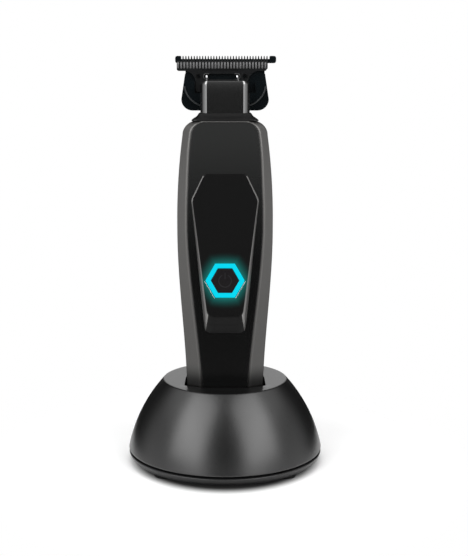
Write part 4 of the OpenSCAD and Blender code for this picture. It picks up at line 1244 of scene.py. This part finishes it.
# %% Finishes of single pieces
edge_polish = finish("pad_edge_polish", (0.26, 0.255, 0.25), 0.3, metal=0.8, grain=0.15)
scaled_by_height(edge_polish, low=PAD_FOOT + SEAT + 0.3, high=PAD_KNEE + SEAT, at_low=0.12)
wire_steel = finish("blade_wire_steel", (0.85, 0.85, 0.86), 0.2, metal=1.0, grain=0.15)
# painted shade: the wire darkens just below its tips, so only the tips stay bright
scaled_by_height(wire_steel, low=tip_z - 1.0, high=tip_z - 0.4, at_low=0.12)
OWN_FINISH = {
    "cutter_ribs": finish("ground_steel", (0.135, 0.135, 0.137), 0.36, metal=0.5, grain=0.1,
                          stretch=(1, 1, 0.2)),
    "carrier_ridges": finish("ridge_coating", (0.011, 0.014, 0.016), 0.3, specular=0.5, grain=0.1),
    "slot_rim": finish("slot_edge", (0.03, 0.03, 0.031), 0.35, specular=0.6, grain=0.1),
    # painted light: the ring's teal glow on the polished edges as well
    "pad_edge": painted_ring_glow(edge_polish, reach=4.5, strength=0.16),
    # painted highlight: bright metal lines along the two lower edges of the ring's seat
    "rim_glints": finish("painted_seat_highlight", (0.7, 0.71, 0.71), 0.25, metal=1.0, grain=0.2),
}
print("finishes of single pieces:", len(OWN_FINISH) + 1)

# %% [markdown]
# ## The feet
#
# Four rubber feet stand on a circle under the base plate. The tree for circles puts one turned foot at each
# point and sets its material.

# %% Feet
foot_profile = rounded([(0, 0), (4.5, 0), (4.5, 1.4), (0, 1.4)], [0, 0.4, 0.1, 0])[1:-1]
feet = repeat(lathe("rubber_feet", foot_profile, 48), RING_TREE, Count=4, Radius=35 * MM, Turn=pi / 4,
              Material=FINISH["rubber_black"])
print("feet:", len(feet.data.polygons), "faces")

# %% [markdown]
# ## The table
#
# The picture has a plain white ground with a soft contact shadow. A white table carries that shadow and
# fades into the white world round it, so no edge or horizon shows. The contact shadow is partly cast and
# partly painted: a ring round the foot of the stand darkens the table's colour. The table shines a little by
# itself for the camera and for reflections, except under the stand, where the painted shadow dims that
# shine too.

# %% Table
table_mesh = bpy.data.meshes.new("table")
table_mesh.from_pydata([(-1, -1, 0), (1, -1, 0), (1, 1, 0), (-1, 1, 0)], [], [(0, 1, 2, 3)])
table = bpy.data.objects.new("table", table_mesh)
scene.collection.objects.link(table)
table_material = bpy.data.materials.new("table_white")
table_material.use_nodes = True
tree = table_material.node_tree
do, step = calculator(tree), stepper(tree)
place = add(tree, "ShaderNodeTexCoord").outputs["Object"]
oval = feed(tree, "ShaderNodeMapping", {"Vector": place, "Location": (0, 0.0006, 0), "Scale": (1.1, 1, 1)})
away = add(tree, "ShaderNodeVectorMath", {0: oval}, operation="LENGTH").outputs["Value"]
SHADOW_IN, SHADOW_OUT, FADE_IN, FADE_OUT = 0.0384, 0.0471, 0.07, 0.12
# painted shadow: the table's colour and shine darken in a ring round the foot of the stand
contact = step(away, SHADOW_IN, SHADOW_OUT, low=0.05)
rays = add(tree, "ShaderNodeLightPath").outputs
SHINE = 0.14
seen = do("MAXIMUM", rays["Is Camera Ray"], rays["Is Glossy Ray"])
glow = do("MULTIPLY", do("MULTIPLY", seen, SHINE), contact)
white = fill(tree, tree.nodes["Principled BSDF"], {
    "Base Color": tinted(tree, (0.94, 0.94, 0.94), contact), "Roughness": 0.9, "Specular IOR Level": 0.0,
    "Emission Color": (1, 1, 1, 1), "Emission Strength": glow})
fade = step(away, FADE_OUT, FADE_IN)
clear = feed(tree, "ShaderNodeBsdfTransparent")
blend = feed(tree, "ShaderNodeMixShader", {"Fac": fade, 1: clear, 2: white.outputs[0]})
fill(tree, tree.nodes["Material Output"], {"Surface": blend})
table_mesh.materials.append(table_material)
print("table:", len(tree.nodes), "nodes")

# %% [markdown]
# ## The world
#
# Glossy surfaces need something to reflect. The camera sees plain white, and every diffuse surface gets the
# same even light, but a reflection looks into a darker room: a dim floor at both sides, a low horizon
# behind the camera, a ceiling, two high side walls and a bright backdrop behind the stand. Each part of
# that room is a product of smooth steps over the three axes.

# %% World
world = bpy.data.worlds.new("studio")
world.use_nodes = True
scene.world = world
tree = world.node_tree
do, step = calculator(tree), stepper(tree)
AMBIENT, ROOM = 0.30, 0.015
SIDE_FLOOR, HORIZON, CEILING, BACKDROP, HIGH_SIDE = 0.75, 0.5, 0.42, 1.12, 0.7
place = add(tree, "ShaderNodeTexCoord").outputs["Generated"]
across, deep, up = add(tree, "ShaderNodeSeparateXYZ", {0: place}).outputs
beside = do("ABSOLUTE", across)


def product(first, *others):
    """Numbers multiplied with each other."""
    for other in others:
        first = do("MULTIPLY", first, other)
    return first


floor_edge = step(beside, 0.22, 0.45, high=1.9 * SIDE_FLOOR)
floor_end = step(beside, 0.55, 0.85, high=0.9 * SIDE_FLOOR)
room = ROOM
for part_of_room in (
        product(do("SUBTRACT", floor_edge, floor_end), step(up, 1.1, -0.25), step(deep, 0.65, 0.15)),
        product(step(up, 0.03, 0.11), step(up, 0.24, 0.13, high=HORIZON), step(deep, -0.5, -0.9)),
        step(up, 0.75, 0.95, high=CEILING),
        product(step(deep, 0.85, 0.95, high=BACKDROP), step(up, -0.06, 0.08), step(beside, 0.4, 0.2)),
        product(step(beside, 0.45, 0.65, high=HIGH_SIDE), step(up, 0.35, 0.6), step(up, 0.95, 0.8),
                step(deep, 0.6, 0.2))):
    room = do("ADD", room, part_of_room)
rays = add(tree, "ShaderNodeLightPath").outputs
direct = do("MAXIMUM", rays["Is Camera Ray"], rays["Is Transmission Ray"])
for_gloss = feed(tree, "ShaderNodeMix", {"Factor": rays["Is Glossy Ray"], "A": AMBIENT, "B": room})
for_camera = feed(tree, "ShaderNodeMix", {"Factor": direct, "A": for_gloss, "B": 1.0})
fill(tree, tree.nodes["Background"], {"Color": (1, 1, 1, 1), "Strength": for_camera})
print("world:", len(tree.nodes), "nodes")

# %% [markdown]
# ## The lamps
#
# Two tall soft lamps in front, left and right, draw the broad streaks on the round stand and on the bevels.
# A third one above the back only lights: it is hidden from reflections, where it would show as a hard spot
# on the domed top.

# %% Lamps
def softbox(name, azimuth, elevation, width, height, power):
    """A soft lamp aimed at the middle of the object, azimuth measured from the front towards +X."""
    a, e = radians(azimuth), radians(elevation)
    towards = Vector((sin(a) * cos(e), -cos(a) * cos(e), sin(e)))
    data = bpy.data.lights.new(name, "AREA")
    data.shape = "RECTANGLE"
    data.size = width
    data.size_y = height
    data.energy = power
    obj = bpy.data.objects.new(name, data)
    obj.location = Vector((0, 0, 0.08)) + LAMP_AWAY * towards
    obj.rotation_euler = (-towards).to_track_quat("-Z", "Y").to_euler()
    scene.collection.objects.link(obj)
    return obj


LAMP_AWAY = 1.2
for azimuth, power in ((-48, 9.7), (46, 8.9)):
    softbox("front_box", azimuth, elevation=35, width=0.9, height=1.2, power=power)
top_box = softbox("top_box", azimuth=180, elevation=75, width=1.0, height=0.7, power=5)
top_box.visible_glossy = False
scene.view_settings.view_transform = "Standard"

# %% [markdown]
# ## Dressing the frame
#
# Each piece rides on the body it belongs to and stands for its CAD node. Before that its large faces are
# made to set the shading, so that flats stay flat beside their fillets.

# %% Ride, replace, finish
def level(obj):
    """Lets the large faces set the shading."""
    weights = obj.modifiers.new("level", "WEIGHTED_NORMAL")
    weights.keep_sharp = True
    weights.weight = 70
    bake(obj)


def paint(obj, material):
    obj.data.materials.clear()
    obj.data.materials.append(material)


PIECES = [
    (front_shell, "trimmer", "front_shell", "shell_metal"),
    (rear_shell, "trimmer", "rear_shell", "shell_metal"),
    (face_plate, "trimmer", "face_plate", "plate_black"),
    (pad, "trimmer", "button_pad", "pad_black"),
    (pad_edge, "trimmer", "button_pad", "pad_black"),
    (rim_glints, "trimmer", "button_pad", "pad_black"),
    (light_ring, "trimmer", "light_ring", "ring_cyan"),
    (button, "power_button", "power_button", "button_black"),
    (collar, "trimmer", "neck_collar", "collar_black"),
    (neck, "trimmer", "neck_housing", "neck_grey"),
    (carrier, "trimmer", "blade_mount", "blade_black"),
    (blade, "trimmer", "fixed_blade", "blade_black"),
    (comb_teeth, "trimmer", "fixed_blade", "blade_black"),
    (ridges, "trimmer", "blade_mount", "blade_black"),
    (blade_screws, "trimmer", "blade_screws", "steel"),
    (cutter, "cutter", "moving_blade", "cutter_grey"),
    (cutter_bar, "cutter", "moving_blade", "cutter_grey"),
    (ribs, "cutter", "moving_blade", "cutter_grey"),
    (slot_rim, "cutter", "moving_blade", "cutter_grey"),
    (stand, "stand", "stand_shell", "stand_black"),
    (cup, "stand", "stand_cup", "cup_black"),
    (base, "stand", "stand_base", "base_grey"),
    (feet, "stand", "stand_feet", "rubber_black"),
    (inlet, "stand", "inlet_jack", "inlet_black"),
]
for obj, body, node, slot in PIECES:
    level(obj)
    paint(obj, OWN_FINISH.get(obj.name, FINISH[slot]))
    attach(obj, body)
    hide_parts(node)
print("dressed pieces:", len(PIECES))

# %% [markdown]
# ## The springs
#
# A spring belongs to two bodies at once. The blade spring bends from the trimmer to the cutter, and the
# coil under each charging pin is pressed together when the pin goes down. Here each spring keeps one shape:
# it gets a finish and takes the place of its CAD node. The nodes inside the trimmer keep their own mesh and
# only get a finish.

# %% Springs and inner nodes
paint(spring, wire_steel)
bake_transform(spring)
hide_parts("blade_spring")
for side in ("left", "right"):
    node, pin = "pin_spring_" + side, "contact_pin_" + side
    coil = copied(node, "pin_coil_" + side, 50)
    paint(coil, FINISH["spring_steel"])
    low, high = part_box(node)
    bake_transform(coil)
    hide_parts(node)
for part in frame["record"]["subparts"]:
    paint(nodes[part["node"]], FINISH[part["material_slot"]])
